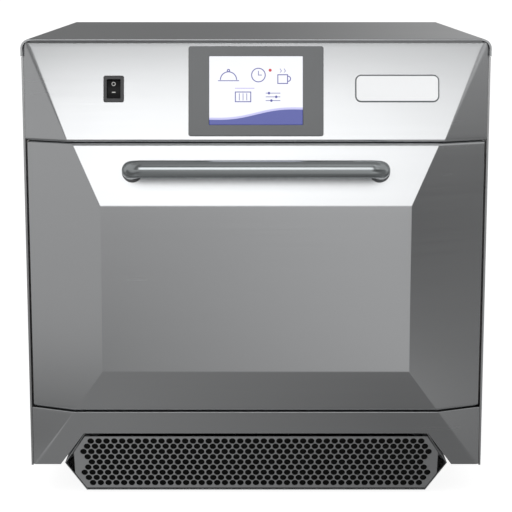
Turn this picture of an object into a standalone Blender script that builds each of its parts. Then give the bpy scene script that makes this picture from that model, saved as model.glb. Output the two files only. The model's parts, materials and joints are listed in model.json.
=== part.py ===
"""A counter-top speed oven: a sheet-steel casing with a faceted front, a drop-down door,
a perforated air filter below it, and the cavity, fans and microwave parts inside."""

import math

import bmesh
import bpy
from mathutils import Matrix, Vector

MM = 0.001

# Clearances
GAP = 0.3 * MM  # between pieces that seat on each other
RUNNING_GAP = 1.0 * MM  # between pieces that move past each other
OVERRUN = 5 * MM  # how far a cutter passes through its piece
SINK = 0.5 * MM  # how far joined shapes reach into each other

# Casing
CASE_WIDTH = 583 * MM
CASE_DEPTH = 612 * MM
CASE_HEIGHT = 591 * MM
FOOT_HEIGHT = 42 * MM
SHEET = 1.2 * MM
LID_STEP = 0.5 * MM
LID_RADIUS = 12 * MM
LID_FLANGE = 21.5 * MM
LID_LIP = 4.5 * MM
LID_OVERHANG = 2.5 * MM
PANEL_NOTCH = 0.8 * MM
PANEL_LIP = 9 * MM
SIDE_HEM = 2.5 * MM
SIDE_HEM_DEPTH = 12 * MM
REAR_FLANGE = 16 * MM
BASE_FLANGE = 25 * MM
BEND_STEPS = 4

# Faceted front
FASCIA_HEIGHT = 118.2 * MM
FRONT_DEPTH = 41 * MM
FRONT_SHEET = 1.5 * MM
FRONT_EDGE_DROP = 2 * MM  # the facets meet the casing's front plane this far inside its ends
PANEL_WIDTH = 385.6 * MM
LOWER_FACET = 54.8 * MM
UPPER_FACET = 77.2 * MM
FASCIA_PROUD = 1.3 * MM
FASCIA_BACK = 12 * MM
LOWER_FASCIA_RISE = 1 * MM
LOWER_FASCIA_HEIGHT = 75.3 * MM
ROLL_RADIUS = 3.5 * MM
SIDE_ROLL = 2 * MM
ROLL_STEPS = 2
ROLL_ANGLE = math.radians(40)
TINY = 0.01 * MM

# Door
DOOR_BOTTOM_GAP = 3.7 * MM
DOOR_TOP_GAP = 3 * MM
DOOR_SIDE_GAP = 2 * MM
DOOR_RIM_INSET = 1.5 * MM
DOOR_BACK = 10 * MM
CHOKE_MARGIN = 12.5 * MM
CHOKE_THICKNESS = 4.9 * MM
CHOKE_BEVEL = 2 * MM
SEAL_WIDTH = 8 * MM
SEAL_THICKNESS = 5.4 * MM

# Door hinges
NOSE_RADIUS = 5 * MM
PIN_RADIUS = 3 * MM
PIN_PLAY = 0.25 * MM
HINGE_INSET = 14 * MM
HINGE_PLATE = 6 * MM
HINGE_RISE = 22.5 * MM
HINGE_ARM = 10 * MM
HINGE_FOOT_WIDTH = 18 * MM
HINGE_FOOT_OVERLAP = 5 * MM
CLEVIS_CHEEK = 3 * MM
CLEVIS_BRIDGE = 3 * MM

# Handle
HANDLE_SPAN = 305.5 * MM
HANDLE_DIAMETER = 21.5 * MM
HANDLE_REACH = 46.9 * MM
HANDLE_BEND = 16 * MM
HANDLE_DROP = 36 * MM
HANDLE_FLANGE_DIAMETER = 26 * MM
HANDLE_FLANGE_THICKNESS = 3 * MM
HANDLE_FLANGE_ROUND = 1 * MM
HANDLE_BEND_STEPS = 5
HANDLE_BEVEL_STEPS = 4

# Front frame, bulkhead and interlocks
FRAME_SHEET = 1.5 * MM
FRAME_DEPTH = 30 * MM
FRAME_DROP = 12 * MM  # the frame's lower edge above the door's
BULKHEAD_RISE = 20 * MM
HOOK_INSET = 14 * MM
HOOK_THICKNESS = 3 * MM
HOOK_HEIGHT = 10 * MM
HOOK_REACH = 26 * MM
HOOK_NOSE = 6 * MM
HOOK_DROP = 30 * MM
HOOK_LIFT = 7 * MM
INTERLOCK_SIZE = (18 * MM, 18 * MM, 32 * MM)

# Cavity
CAVITY_WIDTH = 375 * MM
CAVITY_DEPTH = 312 * MM
CAVITY_HEAD = 68.2 * MM  # from the cavity's ceiling up to the door's top edge
LINER_SHEET = 1.5 * MM
FLOOR_PLATE = 6 * MM
FLOOR_PLATE_PLAY = 1.5 * MM
RACK_RISE = 24 * MM
RACK_THICKNESS = 4 * MM
RACK_PLAY = 3 * MM
RACK_RIM = 12 * MM
RACK_BAR = 4 * MM
RACK_SLOTS = 9
LEDGE_WIDTH = 12.5 * MM
LEDGE_THICKNESS = 2 * MM
JET_DROP = 13 * MM
JET_SHEET = 1.2 * MM
JET_INSET = 30 * MM
JET_HOLE = 14 * MM
JET_COLUMNS = 4
JET_ROWS = 3

# Hot air system behind and above the cavity
CHAMBER_WIDTH = 300 * MM
CHAMBER_DEPTH = 66 * MM
DUCT_HEIGHT = 30 * MM
DUCT_START = 70 * MM
DUCT_PORT = 120 * MM
FAN_TO_HEATER = 12 * MM
FAN_DEPTH = 26 * MM
FAN_PLATE = 2 * MM
FAN_BLADES = 6
FAN_BLADE_SHEET = 2 * MM
FAN_EYE_SHARE = 0.44  # of the fan's radius
SHAFT_RADIUS = 5 * MM
SHAFT_PLAY = 0.5 * MM
SHAFT_SEAT = 15 * MM
HEATER_MARGIN = 15 * MM  # from the ring's centre line to the chamber's nearest wall
HEATER_ROD = 4 * MM
CATALYST_SHARE = 0.67  # of the fan's radius
CATALYST_DEPTH = 14 * MM
SUCTION_SLOTS = 7
SUCTION_WIDTH = 90 * MM
SUCTION_HEIGHT = 6 * MM
SUCTION_PITCH = 12 * MM
BLANKET = 25 * MM
BLANKET_PLAY = 2 * MM
MOTOR_RADIUS = 44 * MM
MOTOR_LENGTH = 80 * MM

# Microwave parts under the cavity
GUIDE_WIDTH = 240 * MM
GUIDE_DEPTH = 90 * MM
GUIDE_HEIGHT = 40 * MM
GUIDE_SHEET = 1.5 * MM
GUIDE_START = 110 * MM
FEED_INSET = 12 * MM
STIRRER_RADIUS = 38 * MM
STIRRER_PLATE = 2 * MM
STIRRER_FIN = 8 * MM
STIRRER_FINS = 3
STIRRER_SHAFT = 3 * MM
STIRRER_MOTOR_RADIUS = 24 * MM
STIRRER_MOTOR_HEIGHT = 26 * MM
MAGNETRON_OFFSET = 84 * MM
MAGNETRON_SIZE = (70 * MM, 80 * MM, 62 * MM)
ANTENNA_RADIUS = 8 * MM
ANTENNA_HEIGHT = 18 * MM
ANTENNA_PLAY = 1 * MM
CORE_SIZE = (100 * MM, 62 * MM, 84 * MM)
COIL_SIZE = (66 * MM, 96 * MM, 56 * MM)
TRANSFORMER_OFFSET = 80 * MM
TRANSFORMER_START = 330 * MM
COOLER_SIZE = 92 * MM
COOLER_DEPTH = 25 * MM
COOLER_BORE = 42 * MM
COOLER_HUB = 17 * MM
COOLER_BLADES = 5
COOLER_BLADE_SHEET = 2 * MM
COOLER_STRUT = 7 * MM
COOLER_STRUT_DEPTH = 5 * MM
COOLER_START = 10 * MM

# Electronics
SHELF_PLAY = 2 * MM
SHELF_START = 75 * MM
SHELF_DEPTH = 420 * MM
SHELF_FLANGE = 18 * MM
BOARD_SIZE = (300 * MM, 240 * MM, 16 * MM)

# Controls on the control fascia
BEZEL_WIDTH = 167 * MM
BEZEL_HEIGHT = 111.6 * MM
BEZEL_THICKNESS = 2.5 * MM
BEZEL_RISE = 60.5 * MM
BEZEL_ROUND = 1.5 * MM
COLLAR_MARGIN = 6 * MM
COLLAR_DEPTH = 12 * MM
SCREEN_WIDTH = 115.6 * MM
SCREEN_HEIGHT = 84.8 * MM
SCREEN_RISE = 61.3 * MM
SCREEN_SETBACK = 0.6 * MM
SCREEN_BOARD = 14 * MM
SWITCH_SHIFT = 10.1 * MM  # inwards from midway between the bezel and the fascia's end
SWITCH_RISE = 63.3 * MM
SWITCH_WIDTH = 25.3 * MM
SWITCH_HEIGHT = 33 * MM
SWITCH_FLANGE = 2 * MM
SWITCH_ROUND = 2 * MM
SWITCH_WALL = 2.2 * MM
SWITCH_DEPTH = 22 * MM
ROCKER_WIDTH = 16 * MM
ROCKER_HEIGHT = 21 * MM
ROCKER_DEPTH = 8 * MM
ROCKER_DISH = 1.6 * MM
ROCKER_PLAY = 1.2 * MM
ROCKER_SIDE_PLAY = 0.3 * MM
ROCKER_TILT = math.radians(6)
BADGE_WIDTH = 104 * MM
BADGE_HEIGHT = 34 * MM
BADGE_THICKNESS = 2.2 * MM
BADGE_ROUND = 7.5 * MM
BADGE_SHIFT = 11.5 * MM  # inwards, as the switch
BADGE_RISE = 63.8 * MM

# Air filter under the door
CUTOUT_RISE = 46 * MM
CUTOUT_TOP_WIDTH = 442 * MM
CUTOUT_BOTTOM_WIDTH = 507.2 * MM
FILTER_HANG = 39 * MM
FILTER_TOP_GAP = 3 * MM
FILTER_SETBACK = 3 * MM
FILTER_MID_RISE = 2 * MM
FILTER_TOP_WIDTH = 442 * MM
FILTER_MID_WIDTH = 497 * MM
FILTER_BOTTOM_WIDTH = 444 * MM
GRILLE_WIDTH = 472 * MM
GRILLE_SHEET = 1.2 * MM
GRILLE_END_MARGIN = 12.4 * MM
GRILLE_TOP_MARGIN = 10.6 * MM
GRILLE_BOTTOM_MARGIN = 11.2 * MM
GRILLE_HOLE = 7.7 * MM
GRILLE_ROWS = (43, 44, 45, 44, 43, 44, 45, 44, 43)  # holes in each row, from the top
HOLE_SIDES = 6
FILTER_PAD = 5 * MM
FILTER_PAD_INSET = 6 * MM
FILTER_OUTLET_WIDTH = 400 * MM
AIR_WAY_HEIGHT = 34 * MM
AIR_WAY_RISE = 4 * MM
PEG_RADIUS = 4 * MM
PEG_LENGTH = 27 * MM
PEG_OFFSET = 12 * MM

# Rear
LOUVRE_COLUMNS = 2
LOUVRE_ROWS = 6
LOUVRE_WIDTH = 140 * MM
LOUVRE_HEIGHT = 7 * MM
LOUVRE_PITCH = 19 * MM
LOUVRE_SPACE = 30 * MM
COWL_DEPTH = 31 * MM
COWL_SLOPE = 22 * MM
COWL_LEDGE = 6 * MM
COWL_MARGIN = 16 * MM
COWL_DROP = 75 * MM
COWL_HEIGHT = 160 * MM
GLAND_SIDE_INSET = 101.5 * MM
GLAND_RISE = 40 * MM
GLAND_RADIUS = 13 * MM
GLAND_BORE = 7 * MM
GLAND_NECK = 10 * MM
GLAND_REACH = 22 * MM
GLAND_NUT = 8 * MM
GLAND_INNER = 10 * MM

# Feet
FOOT_RADIUS = 20 * MM
FOOT_NECK = 14 * MM
FOOT_ROUND = 3 * MM
FOOT_SHOULDER = 12 * MM
FOOT_SIDE_INSET = 101.5 * MM
FOOT_FRONT = 85 * MM
FOOT_REAR_INSET = 72 * MM

# Facets of the round pieces
ROUND_SIDES = 16
SMALL_SIDES = 12
SMOOTH_ANGLE = math.radians(42)

# Places worked out from the sizes, measured from the casing's front plane and the floor
CASE_HALF = CASE_WIDTH / 2
LID_HALF = CASE_HALF + LID_STEP
INNER_HALF = CASE_HALF - SHEET - GAP
HEM_HALF = CASE_HALF - SIDE_HEM
FASCIA_HALF = HEM_HALF - GAP
DOOR_HALF = HEM_HALF - DOOR_SIDE_GAP
RIM_HALF = DOOR_HALF - DOOR_RIM_INSET
PANEL_HALF = PANEL_WIDTH / 2
FASCIA_MIDWAY = (BEZEL_WIDTH / 2 + FASCIA_HALF) / 2
SWITCH_OFFSET = FASCIA_MIDWAY - SWITCH_SHIFT
BADGE_OFFSET = FASCIA_MIDWAY - BADGE_SHIFT
FOOT_OFFSET = CASE_HALF - FOOT_SIDE_INSET
GLAND_OFFSET = CASE_HALF - GLAND_SIDE_INSET

LOWER_FASCIA_LOW = FOOT_HEIGHT + LOWER_FASCIA_RISE
LOWER_FASCIA_HIGH = LOWER_FASCIA_LOW + LOWER_FASCIA_HEIGHT
DOOR_LOW = LOWER_FASCIA_HIGH + DOOR_BOTTOM_GAP
FASCIA_HIGH = CASE_HEIGHT - LID_LIP - GAP
FASCIA_LOW = FASCIA_HIGH - FASCIA_HEIGHT
DOOR_HIGH = FASCIA_LOW - DOOR_TOP_GAP
PANEL_LOW = DOOR_LOW + LOWER_FACET
PANEL_HIGH = DOOR_HIGH - UPPER_FACET
FRONT_LOW = FOOT_HEIGHT + FRONT_EDGE_DROP
FRONT_HIGH = CASE_HEIGHT - FRONT_EDGE_DROP
SIDE_RUN = RIM_HALF - PANEL_HALF
UPPER_RUN = FRONT_HIGH - PANEL_HIGH
LOWER_RUN = PANEL_LOW - FRONT_LOW
UPPER_TILT = math.atan2(FRONT_DEPTH, UPPER_RUN)
LOWER_TILT = math.atan2(FRONT_DEPTH, LOWER_RUN)


def upper_facet_y(height):
    """Where the door's upper facet, and its plane beyond the door, lies at this height."""
    return -FRONT_DEPTH * (FRONT_HIGH - height) / UPPER_RUN


def lower_facet_y(height):
    return -FRONT_DEPTH * (height - FRONT_LOW) / LOWER_RUN


# Door hinge axis: low in the door and close behind its lower facet
HINGE_Z = DOOR_LOW + FRONT_SHEET + RUNNING_GAP + NOSE_RADIUS
HINGE_Y = lower_facet_y(HINGE_Z) + (FRONT_SHEET + RUNNING_GAP + NOSE_RADIUS) / math.cos(LOWER_TILT)
HINGE_X = PANEL_HALF + SIDE_RUN * (PANEL_LOW - HINGE_Z) / LOWER_RUN - HINGE_INSET
HINGE_TOP = HINGE_Z + HINGE_RISE
CLEVIS_HALF = HINGE_PLATE / 2 + RUNNING_GAP + CLEVIS_CHEEK
CHOKE_Y = DOOR_BACK + GAP
FRAME_Y = CHOKE_Y + SEAL_THICKNESS + GAP
FRAME_LOW = DOOR_LOW + FRAME_DROP
FRAME_HIGH = FASCIA_LOW - GAP
BULKHEAD_Y = FRAME_Y + FRAME_DEPTH + GAP
BULKHEAD_HIGH = FRAME_LOW + BULKHEAD_RISE
BASE_START = BULKHEAD_Y + SHEET + GAP
BASE_FLOOR = FOOT_HEIGHT + SHEET + GAP

# Cavity box and what wraps it
CAVITY_HALF = CAVITY_WIDTH / 2
CAVITY_Y = FRAME_Y + FRAME_SHEET + GAP
CAVITY_REAR = CAVITY_Y + CAVITY_DEPTH
CAVITY_LOW = HINGE_TOP + RUNNING_GAP + SEAL_WIDTH + GAP + CHOKE_MARGIN + HINGE_FOOT_OVERLAP
CAVITY_HIGH = DOOR_HIGH - CAVITY_HEAD
CAVITY_MID = (CAVITY_LOW + CAVITY_HIGH) / 2
CHAMBER_Y = CAVITY_REAR + LINER_SHEET + GAP
CHAMBER_REAR = CHAMBER_Y + CHAMBER_DEPTH
CHAMBER_HALF = CHAMBER_WIDTH / 2
HEATER_RADIUS = min((CAVITY_HIGH - CAVITY_LOW) / 2, CHAMBER_HALF) - HEATER_MARGIN
FAN_RADIUS = HEATER_RADIUS - FAN_TO_HEATER
FAN_EYE = FAN_EYE_SHARE * FAN_RADIUS
CATALYST_RADIUS = CATALYST_SHARE * FAN_RADIUS
DUCT_LOW = CAVITY_HIGH + LINER_SHEET + GAP
DUCT_HIGH = DUCT_LOW + DUCT_HEIGHT
BLANKET_HALF = CAVITY_HALF + LINER_SHEET + BLANKET_PLAY
BLANKET_HIGH = DUCT_HIGH + GAP
BLANKET_REAR = CHAMBER_REAR + GAP
SHELF_Z = BLANKET_HIGH + BLANKET + SHELF_PLAY
REAR_PANEL_Y = CASE_DEPTH - SHEET - GAP - SHEET
COWL_LOW = CASE_HEIGHT - COWL_DROP - COWL_HEIGHT
FOOT_REAR = CASE_DEPTH - FOOT_REAR_INSET
GUIDE_HIGH = CAVITY_LOW - LINER_SHEET - GAP
GUIDE_LOW = GUIDE_HIGH - GUIDE_HEIGHT
GUIDE_MID = GUIDE_START + GUIDE_DEPTH / 2

# Air filter
CUTOUT_HIGH = LOWER_FASCIA_LOW + CUTOUT_RISE
FILTER_LOW = FOOT_HEIGHT - FILTER_HANG
FILTER_HIGH = CUTOUT_HIGH - FILTER_TOP_GAP
FILTER_MID = FOOT_HEIGHT + FILTER_MID_RISE
FILTER_SHIFT = FILTER_SETBACK / math.cos(LOWER_TILT)
FILTER_BACK = BULKHEAD_Y - GAP
AIR_WAY_LOW = FOOT_HEIGHT + AIR_WAY_RISE
PEG_X = FILTER_OUTLET_WIDTH / 2 + PEG_OFFSET
PEG_Z = AIR_WAY_LOW + AIR_WAY_HEIGHT / 2
FILTER_SLOPE_HEIGHT = (FILTER_HIGH - FILTER_LOW) / math.cos(LOWER_TILT)

# The object's origin lies under the middle of its box
HANDLE_Z = DOOR_HIGH - HANDLE_DROP
FRONT_REACH = (
    upper_facet_y(HANDLE_Z) - HANDLE_REACH * math.cos(UPPER_TILT) - HANDLE_DIAMETER / 2
)
REAR_REACH = CASE_DEPTH + COWL_DEPTH
ORIGIN_Y = (FRONT_REACH + REAR_REACH) / 2

# Colour, roughness and metallic value of each finish
BRUSHED_STEEL = ((0.60, 0.61, 0.62), 0.32, 1.0)
CASING_STEEL = ((0.40, 0.41, 0.42), 0.40, 1.0)
GALVANISED = ((0.52, 0.54, 0.55), 0.45, 1.0)
CAVITY_STEEL = ((0.55, 0.55, 0.54), 0.30, 1.0)
CAST_METAL = ((0.35, 0.36, 0.37), 0.50, 0.9)
BLACK_PLASTIC = ((0.02, 0.02, 0.02), 0.35, 0.0)
GREY_PLASTIC = ((0.17, 0.18, 0.18), 0.45, 0.0)
RUBBER = ((0.03, 0.03, 0.03), 0.80, 0.0)
SEAL_WOVEN = ((0.30, 0.29, 0.26), 0.90, 0.0)
CERAMIC = ((0.70, 0.68, 0.63), 0.60, 0.0)
FIBRE = ((0.75, 0.73, 0.66), 0.95, 0.0)
BOARD_GREEN = ((0.03, 0.16, 0.06), 0.50, 0.0)
SCREEN_GLASS = ((0.55, 0.58, 0.80), 0.10, 0.0)
WHITE_ENAMEL = ((0.90, 0.91, 0.91), 0.30, 0.0)


def new_collection(name):
    collection = bpy.data.collections.new(name)
    bpy.context.scene.collection.children.link(collection)
    return collection


def clear_scene():
    for old in list(bpy.data.objects):
        bpy.data.objects.remove(old, do_unlink=True)


clear_scene()
PARTS = new_collection("speed_oven")
CUTTERS = new_collection("cutters")


def datum(name, parent=None, place=(0, 0, 0), tilt=0):
    """An empty that carries pieces, turned about X by its tilt."""
    empty = bpy.data.objects.new(name, None)
    PARTS.objects.link(empty)
    empty.parent = parent
    empty.location = place
    empty.rotation_euler.x = tilt
    return empty


def axis_datum(name, place):
    """An empty on a joint's axis, and one under it that brings the casing's frame back."""
    axis = datum(name, OVEN, place)
    return datum(name + "_frame", axis, -Vector(place))


def principled(name, finish):
    colour, roughness, metallic = finish
    material = bpy.data.materials.new(name)
    material.use_nodes = True
    shader = material.node_tree.nodes["Principled BSDF"]
    shader.inputs["Base Color"].default_value = (*colour, 1)
    shader.inputs["Roughness"].default_value = roughness
    shader.inputs["Metallic"].default_value = metallic
    return material


def register(name, data, parent, finish):
    """Links an object as a part with its own material or, with no finish, as a cutter."""
    obj = bpy.data.objects.new(name, data)
    obj.parent = parent
    if finish is None:
        CUTTERS.objects.link(obj)
        obj.hide_render = True
        obj.display_type = "WIRE"
    else:
        PARTS.objects.link(obj)
        data.materials.append(principled(name, finish))
    return obj


def piece(name, bm, parent, finish=None, smooth=False):
    """An object from a bmesh, with its origin at the middle of its own box."""
    corners = [[function(vert.co[axis] for vert in bm.verts) for axis in range(3)] for function in (min, max)]
    middle = (Vector(corners[0]) + Vector(corners[1])) / 2
    bmesh.ops.translate(bm, vec=-middle, verts=bm.verts)
    mesh = bpy.data.meshes.new(name)
    bm.to_mesh(mesh)
    bm.free()
    if smooth:
        mesh.shade_smooth()
        mesh.set_sharp_from_angle(angle=SMOOTH_ANGLE)
    obj = register(name, mesh, parent, finish)
    obj.location = middle
    return obj


def add_box(bm, low, high):
    low = Vector(low)
    high = Vector(high)
    made = bmesh.ops.create_cube(bm, size=1)["verts"]
    bmesh.ops.scale(bm, vec=high - low, verts=made)
    bmesh.ops.translate(bm, vec=(low + high) / 2, verts=made)
    return made


AXIS_TURNS = {
    "X": Matrix.Rotation(math.pi / 2, 4, "Y"),
    "Y": Matrix.Rotation(math.pi / 2, 4, "X"),
    "Z": Matrix.Identity(4),
}


def add_rod(bm, axis, centre, radius, length, sides=SMALL_SIDES):
    return bmesh.ops.create_cone(
        bm,
        cap_ends=True,
        segments=sides,
        radius1=radius,
        radius2=radius,
        depth=length,
        matrix=Matrix.Translation(centre) @ AXIS_TURNS[axis],
    )["verts"]


def box(name, low, high, parent, finish=None):
    bm = bmesh.new()
    add_box(bm, low, high)
    return piece(name, bm, parent, finish)


def rod(name, axis, centre, radius, length, parent, finish=None, sides=SMALL_SIDES):
    bm = bmesh.new()
    add_rod(bm, axis, centre, radius, length, sides)
    return piece(name, bm, parent, finish, smooth=finish is not None)


def spread(side, near, far):
    """The lower and upper x of a stretch, on the left (-1) or right (1)."""
    return sorted((side * near, side * far))


def side_box(name, side, near, far, y_span, z_span, parent, finish=None):
    left, right = spread(side, near, far)
    low = (left, y_span[0], z_span[0])
    high = (right, y_span[1], z_span[1])
    return box(name, low, high, parent, finish)


def open_box(low, high, openings):
    """A bmesh box without the faces that look along these directions."""
    bm = bmesh.new()
    add_box(bm, low, high)
    bm.normal_update()
    gone = [face for face in bm.faces if any(face.normal.dot(Vector(way)) > math.cos(ROLL_ANGLE) for way in openings)]
    bmesh.ops.delete(bm, geom=gone, context="FACES")
    return bm


FRONT = (0, -1, 0)
BACK = (0, 1, 0)
UP = (0, 0, 1)
DOWN = (0, 0, -1)


def solidify(obj, thickness, outward=False):
    modifier = obj.modifiers.new("wall", "SOLIDIFY")
    modifier.thickness = thickness
    modifier.offset = 1 if outward else -1
    modifier.use_even_offset = True


def bevel(obj, width, steps, angle=ROLL_ANGLE):
    modifier = obj.modifiers.new("rounded", "BEVEL")
    modifier.width = width
    modifier.segments = steps
    modifier.limit_method = "ANGLE"
    modifier.angle_limit = angle


def combine(obj, tool, operation):
    modifier = obj.modifiers.new(tool.name, "BOOLEAN")
    modifier.operation = operation
    modifier.object = tool
    modifier.solver = "EXACT"


def cut(obj, *tools):
    for tool in tools:
        combine(obj, tool, "DIFFERENCE")


def join(obj, *tools):
    for tool in tools:
        combine(obj, tool, "UNION")


def turned(name, profile, parent, finish, place, tilt=0, sides=SMALL_SIDES, ring=False):
    """A profile of (radius, height) points turned about Z, then tilted about X."""
    bm = bmesh.new()
    verts = [bm.verts.new((radius, 0, height)) for radius, height in profile]
    pairs = list(zip(verts, verts[1:]))
    if ring:
        pairs.append((verts[-1], verts[0]))
    for pair in pairs:
        bm.edges.new(pair)
    mesh = bpy.data.meshes.new(name)
    bm.to_mesh(mesh)
    bm.free()
    obj = register(name, mesh, parent, finish)
    obj.location = place
    obj.rotation_euler.x = tilt
    screw = obj.modifiers.new("turned", "SCREW")
    screw.steps = sides
    screw.render_steps = sides
    screw.use_merge_vertices = True
    screw.merge_threshold = 0.01 * MM
    screw.use_smooth_shade = False
    return obj


def names(stem):
    """The left and right copy of a name, each with its side."""
    return ((stem + "_left", -1), (stem + "_right", 1))


OVEN = datum("oven", place=(0, -ORIGIN_Y, 0))
DOOR = axis_datum("door_hinge_axis", (0, HINGE_Y, HINGE_Z))
FILTER = datum("air_filter_slide", OVEN)


def top_cover():
    """An arch of sheet with rounded shoulders, a front lip and a rear flange."""
    low = (-LID_HALF, -LID_OVERHANG, CASE_HEIGHT - LID_FLANGE)
    high = (LID_HALF, CASE_DEPTH, CASE_HEIGHT)
    cover = piece("top_cover", open_box(low, high, (FRONT, BACK, DOWN)), OVEN, CASING_STEEL, smooth=True)
    bevel(cover, LID_RADIUS, BEND_STEPS)
    solidify(cover, SHEET)
    half = LID_HALF - LID_RADIUS
    top = CASE_HEIGHT - SHEET / 2
    lip_low = (-half, -LID_OVERHANG, CASE_HEIGHT - LID_LIP)
    lip = box("cover_lip", lip_low, (half, SHEET - LID_OVERHANG, top), OVEN)
    rear_low = (-half, CASE_DEPTH - SHEET, CASE_HEIGHT - LID_FLANGE)
    rear = box("cover_rear_flange", rear_low, (half, CASE_DEPTH, top), OVEN)
    join(cover, lip, rear)


def side_panel(name, side):
    """A side sheet with a hemmed front edge, a stepped lip under the cover and a rear flange."""
    wall_high = CASE_HEIGHT - LID_FLANGE - PANEL_NOTCH
    lip_high = CASE_HEIGHT - LID_RADIUS - RUNNING_GAP
    lip_outer = LID_HALF - SHEET - GAP
    rear = REAR_PANEL_Y - GAP
    wall_z = (FOOT_HEIGHT, wall_high)
    wall_y = (0, REAR_PANEL_Y + SHEET)
    panel = side_box(name, side, CASE_HALF - SHEET, CASE_HALF, wall_y, wall_z, OVEN, CASING_STEEL)
    hem = side_box(name + "_hem", side, HEM_HALF, CASE_HALF - SINK, (0, SIDE_HEM_DEPTH), wall_z, OVEN)
    lip_z = (wall_high - PANEL_LIP, lip_high)
    lip = side_box(name + "_lip", side, lip_outer - SHEET, lip_outer, (LID_OVERHANG, rear), lip_z, OVEN)
    flange_y = (rear - SHEET, rear)
    flange = side_box(name + "_flange", side, INNER_HALF - REAR_FLANGE, CASE_HALF - SINK, flange_y, wall_z, OVEN)
    join(panel, hem, lip, flange)


def rear_panel():
    """The back sheet, with exhaust louvres and a hole for the cord's gland."""
    low = (-INNER_HALF, REAR_PANEL_Y, FOOT_HEIGHT)
    high = (INNER_HALF, REAR_PANEL_Y + SHEET, CASE_HEIGHT - LID_RADIUS - GAP)
    panel = box("rear_panel", low, high, OVEN, CASING_STEEL)
    bm = bmesh.new()
    first = COWL_LOW + COWL_MARGIN
    span = LOUVRE_WIDTH + LOUVRE_SPACE
    for column in range(LOUVRE_COLUMNS):
        left = (column - LOUVRE_COLUMNS / 2) * span + LOUVRE_SPACE / 2
        for row in range(LOUVRE_ROWS):
            bottom = first + row * LOUVRE_PITCH
            slot_low = (left, REAR_PANEL_Y - OVERRUN, bottom)
            add_box(bm, slot_low, (left + LOUVRE_WIDTH, CASE_DEPTH + OVERRUN, bottom + LOUVRE_HEIGHT))
    louvres = piece("louvre_slots", bm, OVEN)
    gland = (GLAND_OFFSET, REAR_PANEL_Y, FOOT_HEIGHT + GLAND_RISE)
    gland_hole = rod("gland_hole", "Y", gland, GLAND_NECK + GAP, 2 * OVERRUN, OVEN)
    cut(panel, louvres, gland_hole)


def exhaust_cowl():
    """A sloping hood over the louvres, open at its foot, that also keeps the wall away."""
    half = LOUVRE_COLUMNS * (LOUVRE_WIDTH + LOUVRE_SPACE) / 2 + COWL_MARGIN
    back = CASE_DEPTH + COWL_DEPTH
    front = REAR_PANEL_Y + SHEET + GAP
    high = COWL_LOW + COWL_HEIGHT
    bm = open_box((-half, front, COWL_LOW), (half, back, high), (FRONT, DOWN))
    every = bm.verts[:] + bm.edges[:] + bm.faces[:]
    bmesh.ops.bisect_plane(bm, geom=every, plane_co=(0, front + COWL_LEDGE, 0), plane_no=BACK)
    for vert in bm.verts:
        if vert.co.z > high - TINY and vert.co.y > back - TINY:
            vert.co.z -= COWL_SLOPE
    cowl = piece("exhaust_cowl", bm, OVEN, CASING_STEEL)
    solidify(cowl, SHEET)


def base_pan():
    """The base tray, with its edges turned up inside the side panels."""
    rear = REAR_PANEL_Y - 2 * GAP - SHEET
    low = (-INNER_HALF, BASE_START, FOOT_HEIGHT)
    high = (INNER_HALF, rear, FOOT_HEIGHT + BASE_FLANGE)
    pan = piece("base_pan", open_box(low, high, (UP,)), OVEN, GALVANISED)
    solidify(pan, SHEET)


def foot(name, side, y):
    top = FOOT_HEIGHT - GAP
    profile = (
        (0, top),
        (FOOT_NECK, top),
        (FOOT_RADIUS, top - FOOT_SHOULDER),
        (FOOT_RADIUS, FOOT_ROUND),
        (FOOT_RADIUS - FOOT_ROUND, 0),
        (0, 0),
    )
    turned(name, profile, OVEN, RUBBER, (side * FOOT_OFFSET, y, 0))


def trim(bm, point, normal):
    """Cuts the bmesh at a plane, drops what lies beyond it and closes the cut."""
    every = bm.verts[:] + bm.edges[:] + bm.faces[:]
    made = bmesh.ops.bisect_plane(bm, geom=every, plane_co=point, plane_no=normal, clear_outer=True)
    loop = [item for item in made["geom_cut"] if isinstance(item, bmesh.types.BMEdge)]
    bmesh.ops.contextual_create(bm, geom=loop)


def facet_growth(run, proud):
    """How far a facet's edge moves along its run when the facet moves out square to itself."""
    return proud * math.hypot(run, FRONT_DEPTH) / FRONT_DEPTH


def front_slice(name, proud, half, low, high, back, parent):
    """A band of the faceted front: a cube drawn out to the facets, trimmed, opened and rolled."""
    bm = bmesh.new()
    bmesh.ops.create_cube(bm, size=2)
    for vert in bm.verts:
        rear = vert.co.y > 0
        runs = 1 + back / FRONT_DEPTH if rear else 0
        across = PANEL_HALF + facet_growth(SIDE_RUN, proud) + runs * SIDE_RUN
        top = PANEL_HIGH + facet_growth(UPPER_RUN, proud) + runs * UPPER_RUN
        bottom = PANEL_LOW - facet_growth(LOWER_RUN, proud) - runs * LOWER_RUN
        x = math.copysign(across, vert.co.x)
        z = top if vert.co.z > 0 else bottom
        vert.co = (x, back if rear else -FRONT_DEPTH, z)
    for side in (-1, 1):
        trim(bm, (side * half, 0, 0), (side, 0, 0))
    trim(bm, (0, 0, high), UP)
    trim(bm, (0, 0, low), DOWN)
    bmesh.ops.recalc_face_normals(bm, faces=bm.faces)
    gone = [face for face in bm.faces if face.normal.y > math.cos(ROLL_ANGLE)]
    bmesh.ops.delete(bm, geom=gone, context="FACES")
    level = [edge for edge in bm.edges if on_ends(edge, low, high) and not on_sides(edge, half)]
    roll(bm, [edge for edge in level if not on_back(edge, back)], ROLL_RADIUS)
    roll(bm, [edge for edge in bm.edges if on_sides(edge, half) and not on_back(edge, back)], SIDE_ROLL)
    shell = piece(name, bm, parent, BRUSHED_STEEL, smooth=True)
    solidify(shell, FRONT_SHEET)
    return shell


def on_ends(edge, low, high):
    middle = (edge.verts[0].co.z + edge.verts[1].co.z) / 2
    flat = abs(edge.verts[0].co.z - edge.verts[1].co.z) < TINY
    return flat and min(abs(middle - low), abs(middle - high)) < TINY


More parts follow.
